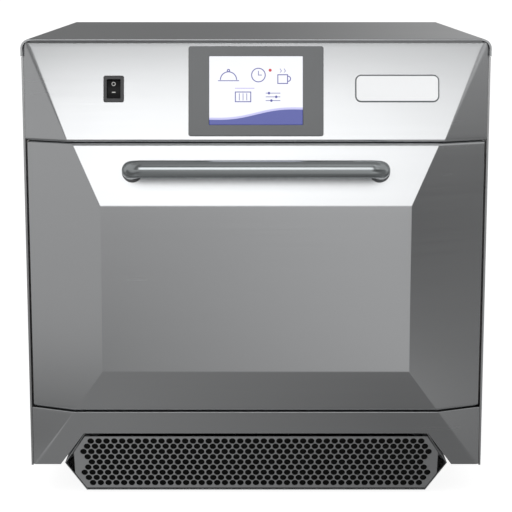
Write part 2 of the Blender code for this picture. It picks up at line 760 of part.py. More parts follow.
def on_sides(edge, half):
    return all(abs(abs(vert.co.x) - half) < TINY for vert in edge.verts)


def on_back(edge, back):
    return all(abs(vert.co.y - back) < TINY for vert in edge.verts)


def roll(bm, edges, width):
    """Rounds the chosen edges of a folded sheet."""
    bmesh.ops.bevel(bm, geom=edges, offset=width, segments=ROLL_STEPS, profile=0.5, affect="EDGES")


def fascia_face():
    """The frame of the control fascia's face: X right, Z up the slope, its face at Y zero."""
    shift = FASCIA_PROUD / math.cos(UPPER_TILT)
    place = (0, upper_facet_y(FASCIA_LOW) - shift, FASCIA_LOW)
    return datum("fascia_face", OVEN, place, -UPPER_TILT)


FACE = fascia_face()
SWITCH_AXIS = datum(
    "rocker_axis", FACE, (-SWITCH_OFFSET, ROCKER_DEPTH / 2 - SWITCH_FLANGE, SWITCH_RISE), ROCKER_TILT
)


def control_fascia():
    fascia = front_slice(
        "control_fascia", FASCIA_PROUD, FASCIA_HALF, FASCIA_LOW, FASCIA_HIGH, FASCIA_BACK, OVEN
    )
    half = SCREEN_WIDTH / 2 + COLLAR_MARGIN + GAP
    rise = SCREEN_HEIGHT / 2 + COLLAR_MARGIN + GAP
    low = (-half, -OVERRUN, SCREEN_RISE - rise)
    window = box("display_hole", low, (half, OVERRUN, SCREEN_RISE + rise), FACE)
    width = ROCKER_WIDTH / 2 + SWITCH_WALL + ROCKER_SIDE_PLAY + GAP
    tall = ROCKER_HEIGHT / 2 + SWITCH_WALL + ROCKER_PLAY + GAP
    low = (-SWITCH_OFFSET - width, -OVERRUN, SWITCH_RISE - tall)
    slot = box("switch_hole", low, (width - SWITCH_OFFSET, OVERRUN, SWITCH_RISE + tall), FACE)
    cut(fascia, window, slot)


def display():
    """The bezel with its collar, the touch screen in it and the board behind."""
    half = BEZEL_WIDTH / 2
    tall = BEZEL_HEIGHT / 2
    low = (-half, -BEZEL_THICKNESS - GAP, BEZEL_RISE - tall)
    bezel = box("display_bezel", low, (half, -GAP, BEZEL_RISE + tall), FACE, GREY_PLASTIC)
    bevel(bezel, BEZEL_ROUND, 1)
    half = SCREEN_WIDTH / 2
    tall = SCREEN_HEIGHT / 2
    wide = half + COLLAR_MARGIN
    high = tall + COLLAR_MARGIN
    collar = box(
        "bezel_collar",
        (-wide, -SINK - GAP, SCREEN_RISE - high),
        (wide, COLLAR_DEPTH, SCREEN_RISE + high),
        FACE,
    )
    window = box(
        "bezel_window",
        (-half - GAP, -BEZEL_THICKNESS - OVERRUN, SCREEN_RISE - tall - GAP),
        (half + GAP, COLLAR_DEPTH + OVERRUN, SCREEN_RISE + tall + GAP),
        FACE,
    )
    join(bezel, collar)
    cut(bezel, window)
    front = SCREEN_SETBACK - GAP - BEZEL_THICKNESS
    low = (-half, front, SCREEN_RISE - tall)
    box("touch_screen", low, (half, COLLAR_DEPTH, SCREEN_RISE + tall), FACE, SCREEN_GLASS)
    rear = COLLAR_DEPTH + GAP
    low = (-wide, rear, SCREEN_RISE - high)
    box("display_board", low, (wide, rear + SCREEN_BOARD, SCREEN_RISE + high), FACE, BOARD_GREEN)


def switch():
    """A snap-in rocker switch: a flanged body with a pocket, and the rocker in it."""
    half = SWITCH_WIDTH / 2
    tall = SWITCH_HEIGHT / 2
    low = (-SWITCH_OFFSET - half, -SWITCH_FLANGE - GAP, SWITCH_RISE - tall)
    high = (half - SWITCH_OFFSET, -GAP, SWITCH_RISE + tall)
    body = box("switch_housing", low, high, FACE, BLACK_PLASTIC)
    bevel(body, SWITCH_ROUND / 2, 1)
    pocket_half = ROCKER_WIDTH / 2 + ROCKER_SIDE_PLAY
    pocket_tall = ROCKER_HEIGHT / 2 + ROCKER_PLAY
    wide = pocket_half + SWITCH_WALL
    long = pocket_tall + SWITCH_WALL
    barrel = box(
        "switch_barrel",
        (-SWITCH_OFFSET - wide, -SINK - GAP, SWITCH_RISE - long),
        (wide - SWITCH_OFFSET, SWITCH_DEPTH, SWITCH_RISE + long),
        FACE,
    )
    floor = ROCKER_DEPTH + ROCKER_PLAY
    pocket = box(
        "switch_pocket",
        (-SWITCH_OFFSET - pocket_half, -SWITCH_FLANGE - OVERRUN, SWITCH_RISE - pocket_tall),
        (pocket_half - SWITCH_OFFSET, floor, SWITCH_RISE + pocket_tall),
        FACE,
    )
    join(body, barrel)
    cut(body, pocket)
    half = ROCKER_WIDTH / 2
    tall = ROCKER_HEIGHT / 2
    deep = ROCKER_DEPTH / 2
    bm = bmesh.new()
    add_box(bm, (-half, -deep, -tall), (half, deep, tall))
    every = bm.verts[:] + bm.edges[:] + bm.faces[:]
    bmesh.ops.bisect_plane(bm, geom=every, plane_co=(0, 0, 0), plane_no=UP)
    for vert in bm.verts:
        if vert.co.y < 0 and abs(vert.co.z) < tall / 2:
            vert.co.y += ROCKER_DISH
    piece("switch_rocker", bm, SWITCH_AXIS, BLACK_PLASTIC)


def badge():
    """A bare oval-ended plate on the right of the fascia."""
    half = BADGE_WIDTH / 2
    tall = BADGE_HEIGHT / 2
    bm = bmesh.new()
    low = (BADGE_OFFSET - half, -BADGE_THICKNESS - GAP, BADGE_RISE - tall)
    add_box(bm, low, (BADGE_OFFSET + half, -GAP, BADGE_RISE + tall))
    bm.normal_update()
    ends = [edge for edge in bm.edges if abs((edge.verts[0].co - edge.verts[1].co).y) > BADGE_THICKNESS / 2]
    bmesh.ops.bevel(bm, geom=ends, offset=BADGE_ROUND, segments=BEND_STEPS, profile=0.5, affect="EDGES")
    piece("badge_plate", bm, FACE, WHITE_ENAMEL, smooth=True)


def wedge(name, low_half, high_half, y_span, z_span, parent):
    """A cutter whose width changes from its foot to its head."""
    bm = bmesh.new()
    add_box(bm, (-1, y_span[0], z_span[0]), (1, y_span[1], z_span[1]))
    middle = (z_span[0] + z_span[1]) / 2
    for vert in bm.verts:
        vert.co.x *= high_half if vert.co.z > middle else low_half
    return piece(name, bm, parent)


def lower_fascia():
    fascia = front_slice(
        "lower_fascia", FASCIA_PROUD, FASCIA_HALF, LOWER_FASCIA_LOW, LOWER_FASCIA_HIGH, FASCIA_BACK, OVEN
    )
    top_half = CUTOUT_TOP_WIDTH / 2
    flare = (CUTOUT_BOTTOM_WIDTH / 2 - top_half) / CUTOUT_RISE
    low_half = top_half + flare * (CUTOUT_RISE + OVERRUN)
    y_span = (-FRONT_DEPTH, FASCIA_BACK + OVERRUN)
    hole = wedge("filter_hole", low_half, top_half, y_span, (LOWER_FASCIA_LOW - OVERRUN, CUTOUT_HIGH), OVEN)
    cut(fascia, hole)


def filter_front_y(height):
    return lower_facet_y(height) + FILTER_SHIFT


def air_filter_frame():
    """A six-sided tray, open to the front on a slant, with an air outlet and two peg holes."""
    bm = bmesh.new()
    bmesh.ops.create_cube(bm, size=2)
    every = bm.verts[:] + bm.edges[:] + bm.faces[:]
    bmesh.ops.bisect_plane(bm, geom=every, plane_co=(0, 0, 0), plane_no=UP)
    gone = [face for face in bm.faces if all(vert.co.y < 0 for vert in face.verts)]
    bmesh.ops.delete(bm, geom=gone, context="FACES")
    levels = {
        -1: (FILTER_LOW, FILTER_BOTTOM_WIDTH / 2),
        0: (FILTER_MID, FILTER_MID_WIDTH / 2),
        1: (FILTER_HIGH, FILTER_TOP_WIDTH / 2),
    }
    for vert in bm.verts:
        height, half = levels[round(vert.co.z)]
        y = filter_front_y(height) if vert.co.y < 0 else FILTER_BACK
        vert.co = (math.copysign(half, vert.co.x), y, height)
    frame = piece("air_filter_frame", bm, FILTER, BRUSHED_STEEL)
    solidify(frame, GRILLE_SHEET)
    cut(frame, air_way("filter_outlet", FILTER_BACK, FILTER))
    for name, side in names("peg_hole"):
        centre = (side * PEG_X, FILTER_BACK, PEG_Z)
        cut(frame, rod(name, "Y", centre, PEG_RADIUS + GAP, 2 * OVERRUN, FILTER))


def air_way(name, y, parent):
    """A cutter for the opening through which the filtered air enters the casing."""
    half = FILTER_OUTLET_WIDTH / 2
    low = (-half, y - OVERRUN, AIR_WAY_LOW)
    return box(name, low, (half, y + OVERRUN, AIR_WAY_LOW + AIR_WAY_HEIGHT), parent)


FILTER_FACE = datum("filter_face", FILTER, (0, filter_front_y(FILTER_LOW), FILTER_LOW), LOWER_TILT)


def flat_plate(name, outlines, thickness, centre_y, parent, finish):
    """A filled flat curve in the parent's XZ plane; outlines after the first are holes."""
    curve = bpy.data.curves.new(name, "CURVE")
    curve.dimensions = "2D"
    curve.fill_mode = "BOTH"
    curve.extrude = thickness / 2
    for outline in outlines:
        spline = curve.splines.new("POLY")
        spline.points.add(len(outline) - 1)
        for point, (x, z) in zip(spline.points, outline):
            point.co = (x, z, 0, 1)
        spline.use_cyclic_u = True
    plate = register(name, curve, parent, finish)
    plate.location.y = centre_y
    plate.rotation_euler.x = math.pi / 2
    return plate


def grille_outline():
    """The plate's eight corners, inside the frame's walls and square at its two ends."""
    wall = GRILLE_SHEET + GAP
    inset = wall / math.cos(LOWER_TILT) + wall * math.tan(LOWER_TILT)
    mid_rise = (FILTER_MID - FILTER_LOW) / math.cos(LOWER_TILT)
    end = GRILLE_WIDTH / 2
    corners = []
    for level, width in ((0, FILTER_BOTTOM_WIDTH), (FILTER_SLOPE_HEIGHT, FILTER_TOP_WIDTH)):
        half = width / 2
        run = FILTER_MID_WIDTH / 2 - half
        climb = mid_rise - level
        slant = math.hypot(run, climb)
        edge_level = level + math.copysign(inset, climb)
        # The sloping edge, moved inwards square to itself
        edge_half = half + run * inset / abs(climb) - inset * slant / abs(climb)
        end_level = edge_level + (end - edge_half) * climb / run
        corners.append(((edge_half, edge_level), (end, end_level)))
    (foot, low_end), (head, high_end) = corners
    right = [foot, low_end, high_end, head]
    left = [(-x, z) for x, z in reversed(right)]
    return right + left


def grille_holes():
    """Round holes in staggered rows, drawn as six-sided ones of the same area, corner up."""
    radius = GRILLE_HOLE / 2 * math.sqrt(math.tau / (HOLE_SIDES * math.sin(math.tau / HOLE_SIDES)))
    pitch = (GRILLE_WIDTH - 2 * GRILLE_END_MARGIN) / (max(GRILLE_ROWS) - 1)
    top = FILTER_SLOPE_HEIGHT - GRILLE_TOP_MARGIN
    step = (top - GRILLE_BOTTOM_MARGIN) / (len(GRILLE_ROWS) - 1)
    for row, count in enumerate(GRILLE_ROWS):
        z = top - row * step
        for index in range(count):
            x = (index - (count - 1) / 2) * pitch
            turns = [math.tau * (corner + 0.5) / HOLE_SIDES for corner in range(HOLE_SIDES)]
            yield [(x + radius * math.cos(turn), z + radius * math.sin(turn)) for turn in turns]


def air_filter_grille():
    outlines = [grille_outline(), *grille_holes()]
    middle = GAP + GRILLE_SHEET / 2
    flat_plate("air_filter_grille", outlines, GRILLE_SHEET, middle, FILTER_FACE, BRUSHED_STEEL)


def air_filter_pad():
    """The washable mesh pad behind the perforated plate, six-sided like the frame."""
    front = 2 * GAP + GRILLE_SHEET
    rear = front + FILTER_PAD
    bottom = (GRILLE_SHEET + GAP + rear * math.sin(LOWER_TILT)) / math.cos(LOWER_TILT)
    middle = (FILTER_MID - FILTER_LOW) / math.cos(LOWER_TILT)
    top = FILTER_SLOPE_HEIGHT - FILTER_PAD_INSET
    levels = ((FILTER_BOTTOM_WIDTH, bottom), (FILTER_MID_WIDTH, middle), (FILTER_TOP_WIDTH, top))
    right = [(width / 2 - FILTER_PAD_INSET, z) for width, z in levels]
    left = [(-x, z) for x, z in reversed(right)]
    flat_plate("air_filter_pad", [right + left], FILTER_PAD, (front + rear) / 2, FILTER_FACE, RUBBER)


def bulkhead():
    """The cross wall behind the lower fascia, with the filter's pegs and an air inlet."""
    low = (-INNER_HALF, BULKHEAD_Y, FOOT_HEIGHT)
    wall = box("front_bulkhead", low, (INNER_HALF, BULKHEAD_Y + SHEET, BULKHEAD_HIGH), OVEN, GALVANISED)
    cut(wall, air_way("air_inlet", BULKHEAD_Y, OVEN))
    for name, side in names("filter_peg"):
        centre = (side * PEG_X, BULKHEAD_Y + (SHEET - PEG_LENGTH) / 2, PEG_Z)
        join(wall, rod(name, "Y", centre, PEG_RADIUS, PEG_LENGTH, OVEN))


def door_skin():
    """The door's outer shell, notched low at its rear edge for the two hinge arms."""
    skin = front_slice("door_skin", 0, DOOR_HALF, DOOR_LOW, DOOR_HIGH, DOOR_BACK, DOOR)
    notch_front = HINGE_Y + HINGE_RISE - HINGE_ARM - RUNNING_GAP
    half = HINGE_PLATE / 2 + RUNNING_GAP
    for name, side in names("skin_notch"):
        y_span = (notch_front, DOOR_BACK + OVERRUN)
        z_span = (DOOR_LOW - OVERRUN, DOOR_LOW + ROLL_RADIUS + FRONT_SHEET)
        cut(skin, side_box(name, side, HINGE_X - half, HINGE_X + half, y_span, z_span, DOOR))


def door_inner_panel():
    inset = FRONT_SHEET + GAP
    half = DOOR_HALF - inset
    low = (-half, DOOR_BACK - SHEET, DOOR_LOW + inset)
    high = (half, DOOR_BACK, DOOR_HIGH - inset)
    bm = bmesh.new()
    add_box(bm, low, high)
    corners = [edge for edge in bm.edges if abs((edge.verts[0].co - edge.verts[1].co).y) > SHEET / 2]
    bmesh.ops.bevel(bm, geom=corners, offset=ROLL_RADIUS, segments=1, affect="EDGES")
    panel = piece("door_inner_panel", bm, DOOR, CAVITY_STEEL)
    slot_half = HINGE_PLATE / 2 + RUNNING_GAP
    for name, side in names("inner_panel_slot"):
        y_span = (DOOR_BACK - OVERRUN, DOOR_BACK + OVERRUN)
        z_span = (DOOR_LOW, HINGE_TOP + RUNNING_GAP)
        cut(panel, side_box(name, side, HINGE_X - slot_half, HINGE_X + slot_half, y_span, z_span, DOOR))
    latch_hooks(panel)


def cavity_frame_box(name, margin, y_span, parent, finish=None):
    """A box as wide and high as the cavity's mouth with this margin on every side."""
    half = CAVITY_HALF + margin
    low = (-half, y_span[0], CAVITY_LOW - margin)
    return box(name, low, (half, y_span[1], CAVITY_HIGH + margin), parent, finish)


def door_choke():
    """The raised plate that closes the cavity's mouth against microwaves."""
    y_span = (CHOKE_Y, CHOKE_Y + CHOKE_THICKNESS)
    choke = cavity_frame_box("door_choke", CHOKE_MARGIN, y_span, DOOR, CAVITY_STEEL)
    bevel(choke, CHOKE_BEVEL, 1)


def door_seal():
    y_span = (CHOKE_Y, CHOKE_Y + SEAL_THICKNESS)
    seal = cavity_frame_box("door_seal", CHOKE_MARGIN + GAP + SEAL_WIDTH, y_span, DOOR, SEAL_WOVEN)
    hole_span = (CHOKE_Y - OVERRUN, CHOKE_Y + SEAL_THICKNESS + OVERRUN)
    cut(seal, cavity_frame_box("seal_hole", CHOKE_MARGIN + GAP, hole_span, DOOR))


HANDLE_FACE = datum("handle_face", DOOR, (0, upper_facet_y(HANDLE_Z), HANDLE_Z), -UPPER_TILT)


def handle_points():
    """Out from one flange, round the bend, along the bar and back."""
    half = HANDLE_SPAN / 2
    turns = [math.pi / 2 * step / HANDLE_BEND_STEPS for step in range(HANDLE_BEND_STEPS + 1)]
    centre_x = HANDLE_BEND - half
    centre_y = HANDLE_BEND - HANDLE_REACH
    left = [(-half, -HANDLE_FLANGE_THICKNESS - 2 * GAP, 0)]
    for turn in turns:
        x = centre_x - HANDLE_BEND * math.cos(turn)
        y = centre_y - HANDLE_BEND * math.sin(turn)
        left.append((x, y, 0))
    right = [(-x, y, z) for x, y, z in reversed(left)]
    return left + right


def door_handle():
    curve = bpy.data.curves.new("door_handle", "CURVE")
    curve.dimensions = "3D"
    curve.bevel_depth = HANDLE_DIAMETER / 2
    curve.bevel_resolution = HANDLE_BEVEL_STEPS
    curve.use_fill_caps = True
    points = handle_points()
    spline = curve.splines.new("POLY")
    spline.points.add(len(points) - 1)
    for point, place in zip(spline.points, points):
        point.co = (*place, 1)
    spline.use_smooth = True
    register("door_handle", curve, HANDLE_FACE, BRUSHED_STEEL)


def handle_flange(name, side):
    radius = HANDLE_FLANGE_DIAMETER / 2
    front = HANDLE_FLANGE_THICKNESS + GAP
    profile = (
        (0, front),
        (radius - HANDLE_FLANGE_ROUND, front),
        (radius, front - HANDLE_FLANGE_ROUND),
        (radius, GAP),
        (0, GAP),
    )
    place = (side * HANDLE_SPAN / 2, 0, 0)
    turned(name, profile, HANDLE_FACE, BRUSHED_STEEL, place, math.pi / 2, ROUND_SIDES)


def hinge_arm(name, side):
    """A fixed gooseneck from the front frame: a foot, a leg over the door's edge and a nose."""
    half = HINGE_PLATE / 2
    x_span = (HINGE_X - half, HINGE_X + half)
    front = HINGE_Y - NOSE_RADIUS
    rear = FRAME_Y - GAP
    upright = (front, front + HINGE_ARM)
    arm = side_box(name, side, *x_span, upright, (HINGE_Z, HINGE_TOP), OVEN, GALVANISED)
    leg_z = (HINGE_TOP - HINGE_ARM, HINGE_TOP)
    leg = side_box(name + "_leg", side, *x_span, (front + SINK, rear - SINK), leg_z, OVEN)
    foot_half = HINGE_FOOT_WIDTH / 2
    foot_y = (rear - CLEVIS_CHEEK, rear)
    foot_z = (FRAME_LOW + RUNNING_GAP, HINGE_TOP + HINGE_FOOT_OVERLAP)
    base = side_box(name + "_foot", side, HINGE_X - foot_half, HINGE_X + foot_half, foot_y, foot_z, OVEN)
    centre = (side * HINGE_X, HINGE_Y, HINGE_Z)
    nose = rod(name + "_nose", "X", centre, NOSE_RADIUS, HINGE_PLATE - GAP, OVEN)
    bore = rod(name + "_bore", "X", centre, PIN_RADIUS + PIN_PLAY, HINGE_PLATE + OVERRUN, OVEN)
    join(arm, leg, base, nose)
    cut(arm, bore)


def hinge_clevis(name, side):
    """The door's half of a hinge: two cheeks joined over the fixed arm."""
    low_z = HINGE_Z - PIN_RADIUS - SINK
    slot_top = HINGE_TOP + RUNNING_GAP
    front = HINGE_Y - PIN_RADIUS - SINK
    rear = DOOR_BACK - SHEET - GAP
    z_span = (low_z, slot_top + CLEVIS_BRIDGE)
    x_span = (HINGE_X - CLEVIS_HALF, HINGE_X + CLEVIS_HALF)
    clevis = side_box(name, side, *x_span, (front, rear), z_span, DOOR, GALVANISED)
    slot_half = HINGE_PLATE / 2 + RUNNING_GAP
    slot_x = (HINGE_X - slot_half, HINGE_X + slot_half)
    slot_y = (front - OVERRUN, rear + OVERRUN)
    slot = side_box(name + "_slot", side, *slot_x, slot_y, (low_z - OVERRUN, slot_top), DOOR)
    centre = (side * HINGE_X, HINGE_Y, HINGE_Z)
    pin = rod(name + "_pin", "X", centre, PIN_RADIUS, 2 * CLEVIS_HALF - SINK, DOOR)
    cut(clevis, slot)
    join(clevis, pin)


def latch_hooks(panel):
    """The door's two hooks, which reach through the front frame to the interlock switches."""
    x = DOOR_HALF - HOOK_INSET
    x_span = (x - HOOK_THICKNESS / 2, x + HOOK_THICKNESS / 2)
    top = DOOR_HIGH - HOOK_DROP
    end = CHOKE_Y + HOOK_REACH
    for name, side in names("latch_hook"):
        arm = side_box(name, side, *x_span, (DOOR_BACK - SINK, end), (top - HOOK_HEIGHT, top), DOOR)
        nose_z = (top - HOOK_HEIGHT - HOOK_NOSE, top - SINK)
        nose = side_box(name + "_nose", side, *x_span, (end - HOOK_NOSE, end - SINK / 2), nose_z, DOOR)
        join(panel, arm, nose)


def front_sill():
    """The flanged bar under the cavity's mouth, which carries the two hinge arms."""
    low = (-INNER_HALF, FRAME_Y, FRAME_LOW)
    high = (INNER_HALF, FRAME_Y + FRAME_DEPTH, CAVITY_LOW)
    sill = piece("front_sill", open_box(low, high, (BACK, UP)), OVEN, CAVITY_STEEL)
    solidify(sill, FRAME_SHEET)


def front_frame():
    """The flanged header and posts round the cavity's mouth, slotted for the two hooks."""
    low = (-INNER_HALF, FRAME_Y, CAVITY_LOW + GAP)
    high = (INNER_HALF, FRAME_Y + FRAME_DEPTH, FRAME_HIGH)
    frame = piece("front_frame", open_box(low, high, (BACK, DOWN)), OVEN, CAVITY_STEEL)
    solidify(frame, FRAME_SHEET)
    mouth = cavity_frame_box("cavity_mouth", 0, (FRAME_Y - OVERRUN, FRAME_Y + OVERRUN), OVEN)
    cut(frame, mouth)
    hook_x = DOOR_HALF - HOOK_INSET
    half = HOOK_THICKNESS / 2 + RUNNING_GAP
    top = DOOR_HIGH - HOOK_DROP
    for name, side in names("hook_slot"):
        y_span = (FRAME_Y - OVERRUN, FRAME_Y + OVERRUN)
        z_span = (top - HOOK_HEIGHT - HOOK_NOSE - RUNNING_GAP, top + HOOK_LIFT)
        cut(frame, side_box(name, side, hook_x - half, hook_x + half, y_span, z_span, OVEN))


def interlock_switch(name, side):
    width, depth, height = INTERLOCK_SIZE
    start = CHOKE_Y + HOOK_REACH + SINK
    outer = INNER_HALF - FRAME_SHEET - GAP
    top = DOOR_HIGH - HOOK_DROP
    z_span = (top - height / 2, top + height / 2)
    side_box(name, side, outer - width, outer, (start, start + depth), z_span, OVEN, GREY_PLASTIC)


def cavity_liner():
    """The welded cooking box, with ports for the jets, the fan and the microwave feed."""
    low = (-CAVITY_HALF, CAVITY_Y, CAVITY_LOW)
    liner = piece("cavity_liner", open_box(low, (CAVITY_HALF, CAVITY_REAR, CAVITY_HIGH), (FRONT,)), OVEN, CAVITY_STEEL)
    solidify(liner, LINER_SHEET, outward=True)
    rail_top = CAVITY_LOW + RACK_RISE
    y_span = (CAVITY_Y + RACK_RIM, CAVITY_REAR - RACK_RIM)
    for name, side in names("rack_ledge"):
        ledge_z = (rail_top - LEDGE_THICKNESS, rail_top)
        join(liner, side_box(name, side, CAVITY_HALF - LEDGE_WIDTH, CAVITY_HALF + SINK, y_span, ledge_z, OVEN))
    port_half = CHAMBER_HALF - JET_INSET
    port_low = (-port_half, CAVITY_REAR - DUCT_PORT - DUCT_START, CAVITY_HIGH - OVERRUN)
    port = box("jet_port", port_low, (port_half, CAVITY_REAR - DUCT_START, CAVITY_HIGH + OVERRUN), OVEN)
    bm = bmesh.new()
    slot_half = SUCTION_WIDTH / 2
    for index in range(SUCTION_SLOTS):
        middle = CAVITY_MID + (index - (SUCTION_SLOTS - 1) / 2) * SUCTION_PITCH
        slot_low = (-slot_half, CAVITY_REAR - OVERRUN, middle - SUCTION_HEIGHT / 2)
        add_box(bm, slot_low, (slot_half, CAVITY_REAR + OVERRUN, middle + SUCTION_HEIGHT / 2))
    suction = piece("suction_slots", bm, OVEN)
    half = GUIDE_WIDTH / 2 - FEED_INSET
    feed_low = (-half, GUIDE_START + FEED_INSET, CAVITY_LOW - OVERRUN)
    feed_high = (half, GUIDE_START + GUIDE_DEPTH - FEED_INSET, CAVITY_LOW + OVERRUN)
    cut(liner, port, suction, box("feed_port", feed_low, feed_high, OVEN))


def cavity_fittings():
    """The ceramic floor, the rack on the liner's ledges and the jet plate above."""
    half = CAVITY_HALF - FLOOR_PLATE_PLAY
    low = (-half, CAVITY_Y + FLOOR_PLATE_PLAY, CAVITY_LOW + GAP)
    high = (half, CAVITY_REAR - FLOOR_PLATE_PLAY, CAVITY_LOW + GAP + FLOOR_PLATE)
    box("cavity_floor_plate", low, high, OVEN, CERAMIC)
    oven_rack(CAVITY_LOW + RACK_RISE + GAP)
    jet_plate()


def oven_rack(bottom):
    """A flat rack with long slots from front to back."""
    half = CAVITY_HALF - RACK_PLAY
    y_span = (CAVITY_Y + RACK_PLAY, CAVITY_REAR - RACK_PLAY)
    low = (-half, y_span[0], bottom)
    rack = box("oven_rack", low, (half, y_span[1], bottom + RACK_THICKNESS), OVEN, BRUSHED_STEEL)
    bevel(rack, RACK_THICKNESS / 4, 1)
    bm = bmesh.new()
    first = RACK_RIM - half
    pitch = 2 * (half - RACK_RIM) / RACK_SLOTS
    for index in range(RACK_SLOTS):
        left = first + index * pitch + RACK_BAR / 2
        slot_low = (left, y_span[0] + RACK_RIM, bottom - OVERRUN)
        slot_high = (left + pitch - RACK_BAR, y_span[1] - RACK_RIM, bottom + RACK_THICKNESS + OVERRUN)
        add_box(bm, slot_low, slot_high)
    cut(rack, piece("rack_slots", bm, OVEN))


def jet_plate():
    """The plate of round jets that hangs under the cavity's ceiling."""
    half = CAVITY_HALF - JET_INSET
    y_span = (CAVITY_Y + JET_INSET, CAVITY_REAR - JET_INSET)
    low = (-half, y_span[0], CAVITY_HIGH - JET_DROP)
    high = (half, y_span[1], CAVITY_HIGH - GAP)
    plate = piece("upper_jet_plate", open_box(low, high, (UP,)), OVEN, CAVITY_STEEL)
    solidify(plate, JET_SHEET)
    bm = bmesh.new()
    for column in range(JET_COLUMNS):
        x = half * (2 * column + 1 - JET_COLUMNS) / JET_COLUMNS
        for row in range(JET_ROWS):
            y = y_span[0] + (y_span[1] - y_span[0]) * (2 * row + 1) / (2 * JET_ROWS)
            add_rod(bm, "Z", (x, y, low[2]), JET_HOLE / 2, 2 * OVERRUN, HOLE_SIDES)
    cut(plate, piece("jet_holes", bm, OVEN))


def hot_air_duct():
    """The duct over the cavity, open below, that feeds the jet plate from the fan chamber."""
    half = CHAMBER_HALF
    low = (-half, CAVITY_REAR - DUCT_PORT - 2 * DUCT_START, DUCT_LOW)
    duct = piece("hot_air_duct", open_box(low, (half, CHAMBER_REAR, DUCT_HIGH), (DOWN,)), OVEN, GALVANISED)
    solidify(duct, GUIDE_SHEET)


def fan_chamber():
    low = (-CHAMBER_HALF, CHAMBER_Y, CAVITY_LOW)
    high = (CHAMBER_HALF, CHAMBER_REAR, DUCT_LOW - GAP)
    chamber = piece("fan_chamber", open_box(low, high, (FRONT, UP)), OVEN, GALVANISED)
    solidify(chamber, GUIDE_SHEET)
    shaft = (0, CHAMBER_REAR, CAVITY_MID)
    cut(chamber, rod("chamber_shaft_hole", "Y", shaft, SHAFT_RADIUS + RUNNING_GAP, 2 * OVERRUN, OVEN))


FAN = axis_datum("convection_fan_axis", (0, CHAMBER_REAR, CAVITY_MID))


def convection_fan():
    """A radial fan: a back plate, straight blades and the shaft that runs into the motor."""
    rear = CHAMBER_REAR - GUIDE_SHEET - 2 * HEATER_ROD - 2 * RUNNING_GAP
    middle = (0, rear - FAN_PLATE / 2, CAVITY_MID)
    fan = rod("convection_fan", "Y", middle, FAN_RADIUS, FAN_PLATE, FAN, CAVITY_STEEL, ROUND_SIDES)
    bm = bmesh.new()
    half = FAN_BLADE_SHEET / 2
    low = (FAN_EYE, -FAN_DEPTH, -half)
    high = (FAN_RADIUS * math.cos(math.pi / ROUND_SIDES) - RUNNING_GAP, -FAN_PLATE / 2, half)
    for index in range(FAN_BLADES):
        made = add_box(bm, low, high)
        turn = Matrix.Rotation(math.tau * index / FAN_BLADES, 3, "Y")
        bmesh.ops.rotate(bm, cent=(0, 0, 0), matrix=turn, verts=made)
    bmesh.ops.translate(bm, vec=(0, rear, CAVITY_MID), verts=bm.verts)
    blades = piece("fan_blades", bm, FAN)
    end = BLANKET_REAR + BLANKET + GAP + SHAFT_SEAT
    start = rear - FAN_PLATE - SHAFT_RADIUS
    centre = (0, (start + end) / 2, CAVITY_MID)
    join(fan, blades, rod("fan_shaft", "Y", centre, SHAFT_RADIUS, end - start, FAN))


def heater():
    """The tubular element round the fan, held close to the chamber's rear wall."""
    bpy.ops.mesh.primitive_torus_add(
        major_radius=HEATER_RADIUS,
        minor_radius=HEATER_ROD,
        major_segments=ROUND_SIDES,
        minor_segments=HOLE_SIDES,
    )
    ring = bpy.context.active_object
    mesh = ring.data
    bpy.data.objects.remove(ring)
    element = register("convection_heater", mesh, OVEN, CAST_METAL)
    y = CHAMBER_REAR - GUIDE_SHEET - HEATER_ROD - GAP
    element.location = (0, y, CAVITY_MID)
    element.rotation_euler.x = math.pi / 2


def catalyst():
    """The honeycomb block behind the liner's suction slots."""
    centre = (0, CHAMBER_Y + CATALYST_DEPTH / 2, CAVITY_MID)
    rod("catalyst", "Y", centre, CATALYST_RADIUS, CATALYST_DEPTH, OVEN, CERAMIC, ROUND_SIDES)


def insulation_blanket():
    """The fibre jacket over the cavity's top, sides and rear."""
    low = (-BLANKET_HALF, CAVITY_Y, CAVITY_LOW)
    bm = open_box(low, (BLANKET_HALF, BLANKET_REAR, BLANKET_HIGH), (FRONT, DOWN))
    blanket = piece("insulation_blanket", bm, OVEN, FIBRE)
    solidify(blanket, BLANKET, outward=True)
    shaft = (0, BLANKET_REAR + BLANKET / 2, CAVITY_MID)
    length = BLANKET + 2 * OVERRUN
    cut(blanket, rod("blanket_shaft_hole", "Y", shaft, SHAFT_RADIUS + RUNNING_GAP, length, OVEN))


def convection_motor():
    front = BLANKET_REAR + BLANKET + GAP
    centre = (0, front + MOTOR_LENGTH / 2, CAVITY_MID)
    motor = rod("convection_motor", "Y", centre, MOTOR_RADIUS, MOTOR_LENGTH, OVEN, CAST_METAL, ROUND_SIDES)
    bore_length = 2 * (SHAFT_SEAT + RUNNING_GAP)
    bore = rod("motor_bore", "Y", (0, front, CAVITY_MID), SHAFT_RADIUS + SHAFT_PLAY, bore_length, OVEN)
    cut(motor, bore)


STIRRER_Z = GUIDE_LOW + GUIDE_HEIGHT / 2
STIRRER = axis_datum("stirrer_axis", (0, GUIDE_MID, STIRRER_Z))


